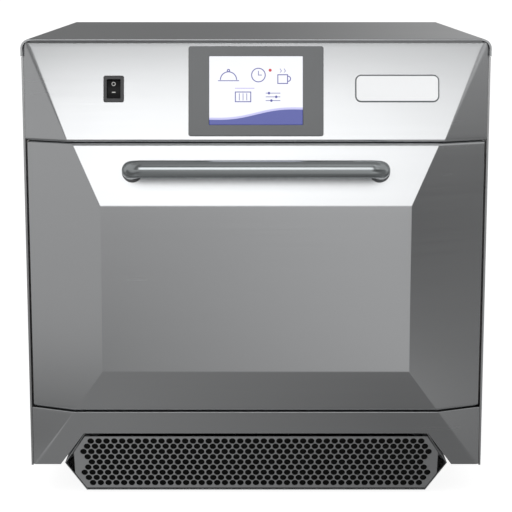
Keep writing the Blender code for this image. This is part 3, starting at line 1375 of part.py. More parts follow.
def waveguide():
    """The guide under the cavity, open above, with holes for the antennas and the stirrer."""
    half = GUIDE_WIDTH / 2
    low = (-half, GUIDE_START, GUIDE_LOW)
    guide = piece("waveguide", open_box(low, (half, GUIDE_START + GUIDE_DEPTH, GUIDE_HIGH), (UP,)), OVEN, GALVANISED)
    solidify(guide, GUIDE_SHEET)
    bm = bmesh.new()
    add_rod(bm, "Z", (0, GUIDE_MID, GUIDE_LOW), STIRRER_SHAFT + RUNNING_GAP, 2 * OVERRUN)
    for side in (-1, 1):
        centre = (side * MAGNETRON_OFFSET, GUIDE_MID, GUIDE_LOW)
        add_rod(bm, "Z", centre, ANTENNA_RADIUS + ANTENNA_PLAY, 2 * OVERRUN)
    cut(guide, piece("guide_holes", bm, OVEN))


def stirrer():
    """A finned disc on an upright shaft that stirs the microwaves."""
    disc = rod(
        "stirrer", "Z", (0, GUIDE_MID, STIRRER_Z), STIRRER_RADIUS, STIRRER_PLATE, STIRRER, GALVANISED, SMALL_SIDES
    )
    bm = bmesh.new()
    half = STIRRER_PLATE / 2
    end = STIRRER_RADIUS * math.cos(math.pi / SMALL_SIDES) - RUNNING_GAP
    for index in range(STIRRER_FINS):
        made = add_box(bm, (STIRRER_FIN, -half, 0), (end, half, STIRRER_FIN))
        turn = Matrix.Rotation(math.tau * index / STIRRER_FINS, 3, "Z")
        bmesh.ops.rotate(bm, cent=(0, 0, 0), matrix=turn, verts=made)
    bmesh.ops.translate(bm, vec=(0, GUIDE_MID, STIRRER_Z), verts=bm.verts)
    fins = piece("stirrer_fins", bm, STIRRER)
    end = GUIDE_LOW - GAP - SHAFT_SEAT
    centre = (0, GUIDE_MID, (STIRRER_Z + end) / 2)
    join(disc, fins, rod("stirrer_shaft", "Z", centre, STIRRER_SHAFT, STIRRER_Z - end, STIRRER))


def stirrer_motor():
    top = GUIDE_LOW - GAP
    centre = (0, GUIDE_MID, top - STIRRER_MOTOR_HEIGHT / 2)
    motor = rod("stirrer_motor", "Z", centre, STIRRER_MOTOR_RADIUS, STIRRER_MOTOR_HEIGHT, OVEN, CAST_METAL)
    length = 2 * (SHAFT_SEAT + RUNNING_GAP)
    bore = rod("stirrer_bore", "Z", (0, GUIDE_MID, top), STIRRER_SHAFT + SHAFT_PLAY, length, OVEN)
    cut(motor, bore)


def magnetron(name, side):
    """A magnetron under the waveguide, with its antenna standing up inside."""
    width, depth, height = MAGNETRON_SIZE
    x = side * MAGNETRON_OFFSET
    top = GUIDE_LOW - GAP
    low = (x - width / 2, GUIDE_MID - depth / 2, top - height)
    body = box(name, low, (x + width / 2, GUIDE_MID + depth / 2, top), OVEN, CAST_METAL)
    centre = (x, GUIDE_MID, top + (ANTENNA_HEIGHT - SINK) / 2)
    join(body, rod(name + "_antenna", "Z", centre, ANTENNA_RADIUS, ANTENNA_HEIGHT + SINK, OVEN))


def transformer(name, side):
    """A laminated core with its winding standing out at front and rear."""
    x = side * TRANSFORMER_OFFSET
    y = TRANSFORMER_START + COIL_SIZE[1] / 2
    core = [size / 2 for size in CORE_SIZE]
    coil = [size / 2 for size in COIL_SIZE]
    z = BASE_FLOOR + core[2]
    low = (x - core[0], y - core[1], z - core[2])
    body = box(name, low, (x + core[0], y + core[1], z + core[2]), OVEN, CAST_METAL)
    low = (x - coil[0], y - coil[1], z - coil[2])
    winding = box(name + "_winding", low, (x + coil[0], y + coil[1], z + coil[2]), OVEN)
    join(body, winding)


COOLER_Y = BASE_START + SHEET + COOLER_START
COOLER_Z = BASE_FLOOR + COOLER_SIZE / 2
COOLER = axis_datum("cooling_fan_axis", (0, COOLER_Y, COOLER_Z))


def cooling_fan():
    """An axial fan on the base, behind the filter's air inlet."""
    half = COOLER_SIZE / 2
    rear = COOLER_Y + COOLER_DEPTH
    low = (-half, COOLER_Y, BASE_FLOOR)
    frame = box("cooling_fan_frame", low, (half, rear, BASE_FLOOR + COOLER_SIZE), OVEN, BLACK_PLASTIC)
    centre = (0, COOLER_Y + COOLER_DEPTH / 2, COOLER_Z)
    bore = rod("cooler_bore", "Y", centre, COOLER_BORE, COOLER_DEPTH + OVERRUN, OVEN, sides=ROUND_SIDES)
    cut(frame, bore)
    strut = COOLER_STRUT / 2
    strut_y = (rear - COOLER_STRUT_DEPTH, rear - SINK / 2)
    reach = half - OVERRUN / 2
    across = side_box("cooler_strut", 1, -reach, reach, strut_y, (COOLER_Z - strut, COOLER_Z + strut), OVEN)
    hub = (0, rear - COOLER_STRUT_DEPTH / 2, COOLER_Z)
    motor = rod("cooler_motor", "Y", hub, COOLER_HUB, COOLER_STRUT_DEPTH, OVEN)
    join(frame, across, motor)
    wheel_rear = rear - COOLER_STRUT_DEPTH - 2 * GAP
    wheel_depth = wheel_rear - COOLER_Y - RUNNING_GAP
    middle = (0, wheel_rear - wheel_depth / 2, COOLER_Z)
    wheel = rod("cooling_fan", "Y", middle, COOLER_HUB, wheel_depth, COOLER, BLACK_PLASTIC)
    bm = bmesh.new()
    thin = COOLER_BLADE_SHEET / 2
    long = wheel_depth / 2 - RUNNING_GAP
    end = COOLER_BORE * math.cos(math.pi / ROUND_SIDES) - 2 * RUNNING_GAP
    for index in range(COOLER_BLADES):
        made = add_box(bm, (COOLER_HUB / 2, -long, -thin), (end, long, thin))
        pitch = Matrix.Rotation(math.pi / 4, 3, "X")
        turn = Matrix.Rotation(math.tau * index / COOLER_BLADES, 3, "Y")
        bmesh.ops.rotate(bm, cent=(0, 0, 0), matrix=turn @ pitch, verts=made)
    bmesh.ops.translate(bm, vec=middle, verts=bm.verts)
    join(wheel, piece("cooler_blades", bm, COOLER))


def electronics():
    """The shelf over the blanket, and the control board on it."""
    low = (-INNER_HALF, SHELF_START, SHELF_Z)
    high = (INNER_HALF, SHELF_START + SHELF_DEPTH, SHELF_Z + SHELF_FLANGE)
    shelf = piece("electronics_shelf", open_box(low, high, (UP, FRONT, BACK)), OVEN, GALVANISED)
    solidify(shelf, SHEET)
    width, depth, height = BOARD_SIZE
    bottom = SHELF_Z + SHEET + GAP
    start = SHELF_START + (SHELF_DEPTH - depth) / 2
    low = (-width / 2, start, bottom)
    box("control_board", low, (width / 2, start + depth, bottom + height), OVEN, BOARD_GREEN)


def cable_gland():
    """The gland in the rear panel that grips the supply cord."""
    outer = GLAND_REACH
    panel = REAR_PANEL_Y + SHEET
    nut_start = GAP
    profile = (
        (GLAND_BORE, outer),
        (GLAND_NECK, outer),
        (GLAND_RADIUS, outer - GLAND_NUT),
        (GLAND_RADIUS, nut_start),
        (GLAND_NECK, nut_start),
        (GLAND_NECK, -GLAND_INNER),
        (GLAND_BORE, -GLAND_INNER),
    )
    place = (GLAND_OFFSET, panel, FOOT_HEIGHT + GLAND_RISE)
    gland = turned("cable_gland", profile, OVEN, BLACK_PLASTIC, place, -math.pi / 2, ring=True)
    gland.location.y = panel


def build():
    top_cover()
    for name, side in names("side_panel"):
        side_panel(name, side)
    rear_panel()
    exhaust_cowl()
    base_pan()
    for place, y in (("front", FOOT_FRONT), ("rear", FOOT_REAR)):
        for name, side in names("foot_" + place):
            foot(name, side, y)
    control_fascia()
    display()
    switch()
    badge()
    lower_fascia()
    air_filter_frame()
    air_filter_grille()
    air_filter_pad()
    bulkhead()
    door_skin()
    door_inner_panel()
    door_choke()
    door_seal()
    door_handle()
    paired = {
        "handle_flange": handle_flange,
        "door_hinge_arm": hinge_arm,
        "door_hinge_clevis": hinge_clevis,
        "interlock_switch": interlock_switch,
        "magnetron": magnetron,
        "hv_transformer": transformer,
    }
    for stem, make in paired.items():
        for name, side in names(stem):
            make(name, side)
    front_sill()
    front_frame()
    cavity_liner()
    cavity_fittings()
    hot_air_duct()
    fan_chamber()
    convection_fan()
    heater()
    catalyst()
    insulation_blanket()
    convection_motor()
    waveguide()
    stirrer()
    stirrer_motor()
    cooling_fan()
    electronics()
    cable_gland()


build()
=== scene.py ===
"""The looks of a counter-top speed oven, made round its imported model."""

import json
import math
from functools import partialmethod

import bmesh
import bpy
from mathutils import Matrix, Vector

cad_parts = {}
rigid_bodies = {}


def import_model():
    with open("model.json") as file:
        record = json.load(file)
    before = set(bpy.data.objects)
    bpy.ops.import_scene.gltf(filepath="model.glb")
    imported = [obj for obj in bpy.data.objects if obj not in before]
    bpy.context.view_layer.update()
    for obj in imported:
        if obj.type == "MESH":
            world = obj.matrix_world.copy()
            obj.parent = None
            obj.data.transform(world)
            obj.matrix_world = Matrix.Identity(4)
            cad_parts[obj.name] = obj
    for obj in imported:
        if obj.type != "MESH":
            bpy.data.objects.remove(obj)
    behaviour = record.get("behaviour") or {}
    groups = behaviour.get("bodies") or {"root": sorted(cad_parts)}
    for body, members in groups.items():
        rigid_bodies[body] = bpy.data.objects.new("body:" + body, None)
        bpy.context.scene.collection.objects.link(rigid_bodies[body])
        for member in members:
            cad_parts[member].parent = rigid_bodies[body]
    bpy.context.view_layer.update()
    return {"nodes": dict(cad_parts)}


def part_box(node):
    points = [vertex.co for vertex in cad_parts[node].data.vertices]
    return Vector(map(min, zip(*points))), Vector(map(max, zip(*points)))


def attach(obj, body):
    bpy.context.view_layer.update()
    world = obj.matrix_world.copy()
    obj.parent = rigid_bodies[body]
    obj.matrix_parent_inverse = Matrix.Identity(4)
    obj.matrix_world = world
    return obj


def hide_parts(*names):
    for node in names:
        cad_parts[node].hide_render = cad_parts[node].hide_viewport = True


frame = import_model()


# ---------------------------------------------------------------- studio
# The oven stands on a very large pale floor in a soft studio. Camera and glass see the white
# backdrop; the steel sees a grey room and, a metre in front, a cloth wall with a softbox.


class Term:
    """A value in a material's expression. Sums, products and comparisons add Math nodes."""

    def __init__(self, finish, socket):
        self.finish = finish
        self.socket = socket

    def math(self, operation, *others):
        return self.finish.node("ShaderNodeMath", dict(enumerate((self, *others))), {"operation": operation})

    __add__ = __radd__ = partialmethod(math, "ADD")
    __sub__ = partialmethod(math, "SUBTRACT")
    __mul__ = __rmul__ = partialmethod(math, "MULTIPLY")
    __truediv__ = partialmethod(math, "DIVIDE")
    __abs__ = partialmethod(math, "ABSOLUTE")
    least = partialmethod(math, "MINIMUM")
    most = partialmethod(math, "MAXIMUM")

    def __rsub__(self, other):
        return (self * -1) + other

    def rise(self, start, end):
        """0 before start and 1 past end, with a soft step between them."""
        values = {"Value": self, "From Min": start, "From Max": end}
        return self.finish.node("ShaderNodeMapRange", values, {"interpolation_type": "SMOOTHSTEP"})

    def bell(self, centre, width):
        """1 at the centre, falling to 0 this far from it."""
        return 1 - abs(self - centre).rise(0, width)


class Finish:
    """A node tree with its shader. node() adds any node and gives its output as a Term."""

    def __init__(self, owner):
        self.owner = bpy.data.materials.new(owner) if isinstance(owner, str) else owner
        self.owner.use_nodes = True
        self.tree = self.owner.node_tree

    def feed(self, socket, value):
        """Sets or links a socket. A bare name is one of the Principled shader's."""
        if isinstance(socket, str):
            socket = self.tree.nodes["Principled BSDF"].inputs[socket]
        if isinstance(value, Term):
            self.tree.links.new(value.socket, socket)
        elif hasattr(socket.default_value, "__len__") and len(socket.default_value) == 4 and len(value) == 3:
            socket.default_value = (*value, 1)
        else:
            socket.default_value = value

    def node(self, kind, values=None, settings=None, output=0):
        made = self.tree.nodes.new(kind)
        for key, value in (settings or {}).items():
            setattr(made, key, value)
        for key, value in (values or {}).items():
            self.feed(made.inputs[key], value)
        return Term(self, made.outputs[output])

    def noise(self, scale, detail=2.0, place=None, roughness=0.5):
        values = {"Vector": place or self.coordinates(), "Scale": scale, "Detail": detail, "Roughness": roughness}
        return self.node("ShaderNodeTexNoise", values)

    def bump(self, height, strength, distance):
        values = {"Height": height, "Strength": strength, "Distance": distance}
        self.feed("Normal", self.node("ShaderNodeBump", values))

    def coordinates(self, kind="Object", scale=(1, 1, 1)):
        place = self.node("ShaderNodeTexCoord", output=kind)
        return self.node("ShaderNodeMapping", {"Vector": place, "Scale": scale})

    def parts(self, vector):
        split = self.node("ShaderNodeSeparateXYZ", {"Vector": vector})
        return [Term(self, output) for output in split.socket.node.outputs]

    def blend(self, share, first, second):
        """The first colour where the share is 0 and the second where it is 1."""
        values = {"Factor": share, 6: first, 7: second}
        return self.node("ShaderNodeMix", values, {"data_type": "RGBA", "clamp_factor": True}, 2)

    def vary(self, share, colour, spread):
        """One colour, darker by the spread where the share is 0 and lighter by it where it is 1."""
        low = tuple(value * (1 - spread) for value in colour)
        high = tuple(min(1, value * (1 + spread)) for value in colour)
        return self.blend(share, low, high)


def room_tone(across, along, up):
    """How bright the room looks in steel, by the direction in which it lies."""
    behind = along.rise(0.2, 0.6) * (1 - up.rise(0.45, 0.9)) * (1 - abs(across).rise(0.2, 0.5))
    return 0.48 - up.rise(0.6, 0.85) * 0.2 - behind * (0.275 - across.rise(-0.02, 0.2) * 0.46)


def ray_kinds(finish):
    """Whether a ray comes from the camera or through glass, and whether it comes off a shiny surface."""
    path = finish.node("ShaderNodeLightPath").socket.node.outputs
    seen = Term(finish, path["Is Camera Ray"]) + Term(finish, path["Is Transmission Ray"])
    return seen.least(1), Term(finish, path["Is Glossy Ray"])


def add_object(name, shape):
    """A new object in the scene. The shape is its data, or a bmesh, which is used up."""
    if isinstance(shape, bmesh.types.BMesh):
        mesh = bpy.data.meshes.new(name)
        shape.to_mesh(mesh)
        shape.free()
        shape = mesh
    made = bpy.data.objects.new(name, shape)
    bpy.context.scene.collection.objects.link(made)
    return made


def flat_sheet(half_wide, half_tall, matrix=Matrix.Identity(4)):
    """One square face, stretched to these half sizes."""
    sheet = bmesh.new()
    matrix = matrix @ Matrix.Diagonal((half_wide, half_tall, 1, 1))
    bmesh.ops.create_grid(sheet, x_segments=1, y_segments=1, size=1, matrix=matrix)
    return sheet


WORLD_LIGHT = 0.86
studio = Finish(bpy.data.worlds.new("studio"))
bpy.context.scene.world = studio.owner
seen, shiny = ray_kinds(studio)
sky = room_tone(*studio.parts(studio.node("ShaderNodeTexCoord", output="Generated")))
backdrop = studio.tree.nodes["Background"].inputs
studio.feed(backdrop["Strength"], seen + (1 - seen) * (shiny * sky + (1 - shiny) * WORLD_LIGHT))
studio.feed(backdrop["Color"], (1, 1, 1))

FLOOR_HALF, FLOOR_DROP = 60.0, 0.0004
FLOOR_COLOUR, FLOOR_GLOW = 0.82, 0.9
OVEN_FRONT = -0.277
floor = add_object("floor", flat_sheet(FLOOR_HALF, FLOOR_HALF))
floor.location.z = -FLOOR_DROP
paper = Finish("backdrop_paper")
seen, shiny = ray_kinds(paper)
across, along, _ = paper.parts(paper.coordinates())
# In the steel the floor shows a painted reflection, a glow seen by shiny rays only: painted shade close
# in front, brighter further out and to the right, and brighter again behind the oven.
ahead = OVEN_FRONT - along
far = ahead.rise(0.15, 0.6)
aside = abs(across)
outer = (across * -1).rise(0.45, 0.9) * 0.27 - across.rise(0.45, 0.9) * 0.38
close = 0.2 - across.least(0.2).most(-0.2) * 0.2 + across.rise(0.25, 0.5) * 0.05
# A small brighter patch close in on the left is a painted glint for the left creases of the front.
close = close + across.bell(-0.34, 0.07) * ahead.bell(0.14, 0.1) * 0.22
close = close - (across * -1).rise(0.4, 0.5) * 0.07
front_tone = (1 - far) * close + far * (0.36 + across.least(0.5).most(-0.5) * 0.42 + outer)
behind = along.rise(-0.25, 0.5) * (0.3 + aside.rise(0.3, 0.6) * 0.1)
floor_tone = front_tone + (1 - front_tone) * behind
paper.feed("Base Color", paper.blend(seen, (FLOOR_COLOUR,) * 3, (0.2,) * 3))
paper.feed("Roughness", 0.9)
paper.feed("Specular IOR Level", 0.1)
paper.bump(paper.noise(60.0, 3.0), 0.05, 0.001)
values = {"Color": (1, 1, 1), "Strength": shiny * floor_tone + seen * FLOOR_GLOW}
glow = paper.node("ShaderNodeEmission", values)
lit = Term(paper, paper.tree.nodes["Principled BSDF"].outputs[0])
both = paper.node("ShaderNodeAddShader", {0: lit, 1: glow})
tone_only = paper.node("ShaderNodeMixShader", {0: shiny, 1: both, 2: glow})
paper.feed(paper.tree.nodes["Material Output"].inputs["Surface"], tone_only)
floor.data.materials.append(paper.owner)

WALL_AWAY, WALL_WIDE, WALL_TALL = 1.0, 4.0, 1.6
upright = Matrix.Translation((0, OVEN_FRONT - WALL_AWAY, WALL_TALL)) @ Matrix.Rotation(math.pi / 2, 4, "X")
wall = add_object("softbox_wall", flat_sheet(WALL_WIDE, WALL_TALL, upright))
wall.visible_camera = wall.visible_diffuse = wall.visible_shadow = wall.visible_transmission = False
screen = Finish("softbox_cloth")
across, _, height = screen.parts(screen.coordinates())
# In the steel the wall shows a softbox across its middle, and is darker to the right, above the
# box and down by the floor.
left, right = (across * -1).rise(0.3, 0.6), across.rise(0.3, 0.6)
box_shape = height.rise(0.4, 0.56) * (1 - height.rise(0.89, 0.972)) * (1 - abs(across).rise(0.42, 0.64))
box_tone = 1.8 + height.bell(0.86, 0.12) * 0.15 - across.rise(0, 0.35) * 0.32
corner_shade = left * (1 - (across * -1).rise(1.05, 1.35)) * height.rise(0.3, 0.5) * 0.28
dark_side = right * (0.42 - height.rise(0.2, 0.45) * 0.17) * (1 - height.rise(0.5, 0.75))
dark_side = dark_side + across.bell(0.68, 0.16) * height.rise(0.45, 0.55) * 0.3
dark_side = dark_side - across.bell(1.15, 0.4) * height.rise(0.5, 0.7) * 0.25 + across.bell(1.0, 0.7) * 0.05
over_box = (1 - left) * (height.rise(0.85, 1.1) - height.rise(1.2, 1.6)) * 0.2
by_floor = left * (1 - height.rise(0.0, 0.2)) * 0.08
tone = 0.41 + across.least(0.4).most(-0.4) * 0.3 + left * 0.16
tone = tone - dark_side - corner_shade - over_box - by_floor
weave = screen.noise(7.0) * 0.01
cloth = screen.node("ShaderNodeEmission", {"Strength": tone * (1 - box_shape) + box_shape * box_tone + weave})
screen.feed(screen.tree.nodes["Material Output"].inputs["Surface"], cloth)
wall.data.materials.append(screen.owner)

KEY_LIGHT, KEY_PLACE, KEY_AIM = 26, (-1.3, -2.2, 2.6), (0, 0, 0.3)
key_data = bpy.data.lights.new("soft_key", "AREA")
key_data.shape = "RECTANGLE"
key_data.size, key_data.size_y, key_data.energy = 2.4, 1.6, KEY_LIGHT
key = add_object("soft_key", key_data)
key.location = KEY_PLACE
key.rotation_euler = (Vector(KEY_AIM) - key.location).to_track_quat("-Z", "Y").to_euler()
key.visible_glossy = False

CASING_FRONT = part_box("side_panel_left")[0].y
CAMERA_AWAY, CAMERA_RISE, CAMERA_TILT = 2.004, 0.679, 79.78
camera_data = bpy.data.cameras.new("camera")
camera_data.lens, camera_data.sensor_width = 112.85, 36
camera = add_object("camera", camera_data)
camera.location = (0, CASING_FRONT - CAMERA_AWAY, CAMERA_RISE)
camera.rotation_euler = (math.radians(CAMERA_TILT), 0, 0)
bpy.context.scene.camera = camera
bpy.context.scene.view_settings.view_transform = "Standard"


# ---------------------------------------------------------------- lid
# The lid is one sheet of stainless steel, folded down over both sides with soft shoulders,
# with a narrow lip at the front and a flange at the rear. It is screwed on at the back.


def steel(name, colour, roughness, grain_scale, streak=0.05, dent=0.000012):
    """Stainless steel with a fine brushed grain; the grain runs where its scale is small."""
    finish = Finish(name)
    finish.feed("Metallic", 1.0)
    fine = finish.noise(1.0, place=finish.coordinates(scale=grain_scale), roughness=0.6)
    broad = finish.noise(1.0, 3.0, finish.coordinates(scale=tuple(size * 0.12 for size in grain_scale)))
    finish.feed("Base Color", finish.vary(fine * 0.5 + broad * 0.5, colour, streak))
    finish.feed("Roughness", roughness - 0.04 + broad * 0.05 + finish.noise(9.0) * 0.03)
    finish.bump(fine + broad * 0.6, 0.6, dent)
    return finish.owner


def modify(piece, kind, **settings):
    made = piece.modifiers.new(kind.lower(), kind)
    for key, value in settings.items():
        setattr(made, key, value)


def settle(piece, cutters=()):
    """Turns a piece and its modifiers into a plain mesh, and removes the cutters."""
    graph = bpy.context.evaluated_depsgraph_get()
    shape = piece.evaluated_get(graph)
    piece_mesh = bpy.data.meshes.new_from_object(shape, preserve_all_data_layers=True, depsgraph=graph)
    piece.modifiers.clear()
    piece.data = piece_mesh
    for tool in cutters:
        bpy.data.objects.remove(tool)
    return piece_mesh


def place_piece(name, bm, material, body, replaced=(), wall=0, cutters=(), edge=0, edge_steps=3, sharp=32):
    """Makes a finished piece: walls its faces, cuts it, rounds its edges and hangs it on its body."""
    piece = add_object(name, bm)
    piece.data.materials.append(material)
    if wall:
        modify(piece, "SOLIDIFY", thickness=wall, offset=-1, use_even_offset=True)
    for tool in cutters:
        modify(piece, "BOOLEAN", object=tool, solver="EXACT")
    if edge:
        angle = math.radians(40)
        modify(piece, "BEVEL", width=edge, segments=edge_steps, limit_method="ANGLE", angle_limit=angle)
    piece.data.shade_smooth()
    settle(piece, cutters)
    piece.data.shade_smooth()
    piece.data.set_sharp_from_angle(angle=math.radians(sharp))
    modify(piece, "WEIGHTED_NORMAL", keep_sharp=True)
    settle(piece)
    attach(piece, body)
    if replaced:
        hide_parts(*replaced)
    return piece


def add_grid(bm, rows, close=False):
    """Skins rows of points into quads; with close, each row is a ring."""
    made = [[bm.verts.new(point) for point in row] for row in rows]
    for first, second in zip(made, made[1:]):
        steps = range(len(first) if close else len(first) - 1)
        for index in steps:
            after = (index + 1) % len(first)
            bm.faces.new((first[index], first[after], second[after], second[index]))
    return made


def tidy_mesh(bm, way=None, merge=1e-6):
    """Joins loose points and sorts the faces out. An open sheet's faces are turned to look this way."""
    bmesh.ops.remove_doubles(bm, verts=bm.verts, dist=merge)
    bmesh.ops.dissolve_degenerate(bm, edges=bm.edges, dist=merge / 10)
    bmesh.ops.recalc_face_normals(bm, faces=bm.faces)
    if way and sum(face.normal.dot(Vector(way)) * face.calc_area() for face in bm.faces) < 0:
        bmesh.ops.reverse_faces(bm, faces=bm.faces)
    return bm


def arc(centre, radius, start, end, steps):
    """Points (a, b) along an arc, its angles in degrees."""
    turns = [math.radians(start + (end - start) * step / steps) for step in range(steps + 1)]
    return [(centre[0] + radius * math.cos(turn), centre[1] + radius * math.sin(turn)) for turn in turns]


MM, UP = 0.001, (0, 0, 1)
lid_low, lid_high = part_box("top_cover")
LID_RADIUS, LID_REAR_RADIUS, SHOULDER_STEPS = 12 * MM, 3 * MM, 10
LID_FLANGE, LID_FOLD = 21.5 * MM, 0.7 * MM
LID_LIP, LIP_STRIP, LIP_SETBACK = 3.6 * MM, 1.3 * MM, 0.7 * MM
LIP_LEAN = math.tan(math.radians(5))
EDGE_TURN = 2.4 * MM  # the shoulders' front edges are turned in by this much
SHEET = 1.2 * MM


def lid_side(y, inset=0):
    """The lid's right flange and shoulder at this depth. The shoulder tightens to the rear."""
    share = (y - lid_low.y) / (lid_high.y - lid_low.y)
    radius = LID_RADIUS + (LID_REAR_RADIUS - LID_RADIUS) * share
    shoulder = arc((lid_high.x - radius, lid_high.z - radius), radius - inset, 0, 90, SHOULDER_STEPS)
    return [(lid_high.x - inset, lid_high.z - LID_FLANGE), *shoulder]


front_fold = lid_low.y + LID_FOLD + 0.1 * MM
rear_fold = lid_high.y - LID_FOLD
lid = bmesh.new()
for start, end in ((lid_low.y, front_fold), (front_fold, rear_fold), (rear_fold, lid_high.y)):
    rows = []
    for y in (start, end):
        right = lid_side(y)
        rows.append([(x, y, z) for x, z in right] + [(-x, y, z) for x, z in reversed(right)])
    edge = add_grid(lid, rows)[0][len(right) - 1:len(right) + 1]
    if start != front_fold:
        lid.faces.remove(next(face for face in edge[0].link_faces if edge[1] in face.verts))
lip = arc((front_fold, lid_high.z - LID_FOLD), LID_FOLD, 90, 175, 5)
lip.append((lip[-1][0] - LIP_STRIP * LIP_LEAN, lip[-1][1] - LIP_STRIP))
lip.append((lip[-1][0] + LIP_SETBACK, lid_high.z - LID_LIP))
drop = arc((rear_fold, lid_high.z - LID_FOLD), LID_FOLD, 90, 0, 5)
drop.append((drop[-1][0], lid_high.z - LID_FLANGE))
for fold_y, fold in ((front_fold, lip), (rear_fold, drop)):
    half = lid_side(fold_y)[-1][0]
    add_grid(lid, [[(x, y, z) for x in (-half, half)] for y, z in fold])
for side in (-1, 1):
    add_grid(lid, [[(side * x, lid_low.y, z) for x, z in lid_side(lid_low.y, inset)] for inset in (0, EDGE_TURN)])
    corner = [(half, lid_high.z - LID_FLANGE), *lid_side(lid_high.y)]
    lid.faces.new([lid.verts.new((side * x, lid_high.y, z)) for x, z in corner])
LID_STEEL = steel("lid_steel", (0.42, 0.427, 0.434), 0.34, (25, 1400, 1400))
place_piece("lid", tidy_mesh(lid, UP), LID_STEEL, "casing", ["top_cover"], wall=SHEET)


# ---------------------------------------------------------------- faceted front
# Fascia, door and lower fascia are folded from stainless sheet to one faceted shape: a flat
# middle with slopes to all four sides. Edges are rolled back, and creases soften to the corners.

FORWARDS = (0, -1, 0)
FRONT_DEPTH, FRONT_SHEET = 41 * MM, 1.5 * MM
PANEL_HALF, PANEL_LOW, PANEL_HIGH = 192.8 * MM, 176.8 * MM, 387.8 * MM
SIDE_RUN, UPPER_RUN, LOWER_RUN = 92.4 * MM, 201.2 * MM, 132.8 * MM
UPPER_TILT, LOWER_TILT = math.atan2(FRONT_DEPTH, UPPER_RUN), math.atan2(FRONT_DEPTH, LOWER_RUN)
UPPER_SOFT, LOWER_SOFT = 0.25 * MM, 0.35 * MM
SIDE_ROOM = 1.4 * MM  # a side's rolled edge takes up no more of the facet than this
ROLL_STEPS, FACET_STEPS, CREASE_STEPS, SIDE_STEPS = 6, 24, 8, 5
BEND_STEP, BEND_STEPS = 0.3 * MM, 7


def growth(run, proud):
    """How much longer a slope's run gets when its facet stands proud."""
    return proud * math.hypot(run, FRONT_DEPTH) / FRONT_DEPTH


def soft_least(first, second, width):
    """The lesser value, rounded off where the two are closer than the width."""
    near = max(width - abs(first - second), 0) / width
    return min(first, second) - near * near * width / 4


def front_depth(z, proud):
    """How far the middle of the front stands forward at this height."""
    upper = FRONT_DEPTH * (PANEL_HIGH + growth(UPPER_RUN, proud) + UPPER_RUN - z) / UPPER_RUN
    lower = FRONT_DEPTH * (z - PANEL_LOW + growth(LOWER_RUN, proud) + LOWER_RUN) / LOWER_RUN
    return soft_least(soft_least(upper, FRONT_DEPTH, UPPER_SOFT), lower, LOWER_SOFT)


def fillet(corner, before, after, radius, room, steps):
    """Points round a corner, from the side of one neighbour to the other's."""
    corner, before, after = Vector(corner), Vector(before), Vector(after)
    first, second = (before - corner).normalized(), (after - corner).normalized()
    opening = first.angle(second)
    reach = min(radius / math.tan(opening / 2), room)
    radius = reach * math.tan(opening / 2)
    centre = corner + (first + second).normalized() * (radius / math.sin(opening / 2))
    start, end = corner + first * reach - centre, corner + second * reach - centre
    turn = math.pi - opening
    points = []
    for step in range(steps + 1):
        share = step / steps
        way = (start * math.sin((1 - share) * turn) + end * math.sin(share * turn)) / math.sin(turn)
        points.append(centre + way)
    return points


def front_row(z, inset, half, back, proud, crease, side_roll, spread):
    """The front's outline at one height, from the left wall's rear edge to the right one's."""
    wall = half - inset
    slope = FRONT_DEPTH / SIDE_RUN
    reach = PANEL_HALF + SIDE_RUN + spread + growth(SIDE_RUN, proud) - inset * math.hypot(1, slope) / slope
    depth = front_depth(z, proud) - inset
    bend = min(reach - depth / slope, wall - 0.5 * MM)
    ends = [Vector(end) for end in ((-wall, back), (-wall, -(reach - wall) * slope), (-bend, -depth), (bend, -depth))]
    corner = fillet(ends[1], ends[0], ends[2], max(side_roll - inset, 0.2 * MM), SIDE_ROOM, SIDE_STEPS)
    room = max((ends[2] - ends[1]).length - 1.5 * MM, 0.3 * MM)
    left = [ends[0], *corner, *fillet(ends[2], ends[1], ends[3], crease, room, CREASE_STEPS)]
    right = [Vector((-point.x, point.y)) for point in reversed(left)]
    return [(point.x, point.y + CASING_FRONT, z) for point in left + right]


def front_sheet(half, low, high, back, proud, creases, rolls, side_roll, spread=0):
    """A band of the faceted front as an open sheet. Creases and rolls are radii, low and high;
    spread is how much further out the side creases end at the lower edge."""
    levels = []
    for edge, way, radius in ((low, 1, rolls[0]), (high, -1, rolls[1])):
        for step in range(ROLL_STEPS + 1):
            turn = math.pi / 2 * step / ROLL_STEPS
            levels.append((edge + way * radius * (1 - math.sin(turn)), radius * (1 - math.cos(turn))))
    start, span = low + rolls[0], high - low - rolls[0] - rolls[1]
    inner = [start + span * step / FACET_STEPS for step in range(1, FACET_STEPS)]
    for bend in (PANEL_LOW, PANEL_HIGH):
        if low < bend < high:
            near_bend = [bend + BEND_STEP * step for step in range(-BEND_STEPS, BEND_STEPS + 1)]
            inner = [z for z in inner if abs(z - bend) > 3 * MM] + [z for z in near_bend if z > start]
    levels += [(z, 0) for z in inner]
    levels.sort(key=lambda level: (level[0], -level[1] if level[0] < start else level[1]))
    rows = []
    for z, inset in levels:
        share = (z - low) / (high - low)
        crease = creases[0] + (creases[1] - creases[0]) * share
        rows.append(front_row(z, inset, half, back, proud, crease, side_roll, spread * (1 - share)))
    flanges = [[(x, CASING_FRONT + back, z) for x, _, z in row] for row in (rows[0], rows[-1])]
    bm = bmesh.new()
    add_grid(bm, [flanges[0], *rows, flanges[1]])
    return tidy_mesh(bm, FORWARDS)


FRONT_STEEL = steel("brushed_steel_front", (0.66, 0.67, 0.68), 0.26, (22, 22, 2200), streak=0.035)


# ---------------------------------------------------------------- control fascia
# The upper fascia leans back over the door. It is pierced for the display's collar and for
# the switch's body, and its bends widen from sharp at the door to soft under the lid.


def face_matrix(z, tilt, proud):
    """From a facet's own frame (X right, Z up the slope, Y inwards) to the oven's."""
    depth = front_depth(z, 0) + proud / math.cos(tilt)
    return Matrix.Translation((0, CASING_FRONT - depth, z)) @ Matrix.Rotation(-tilt, 4, "X")


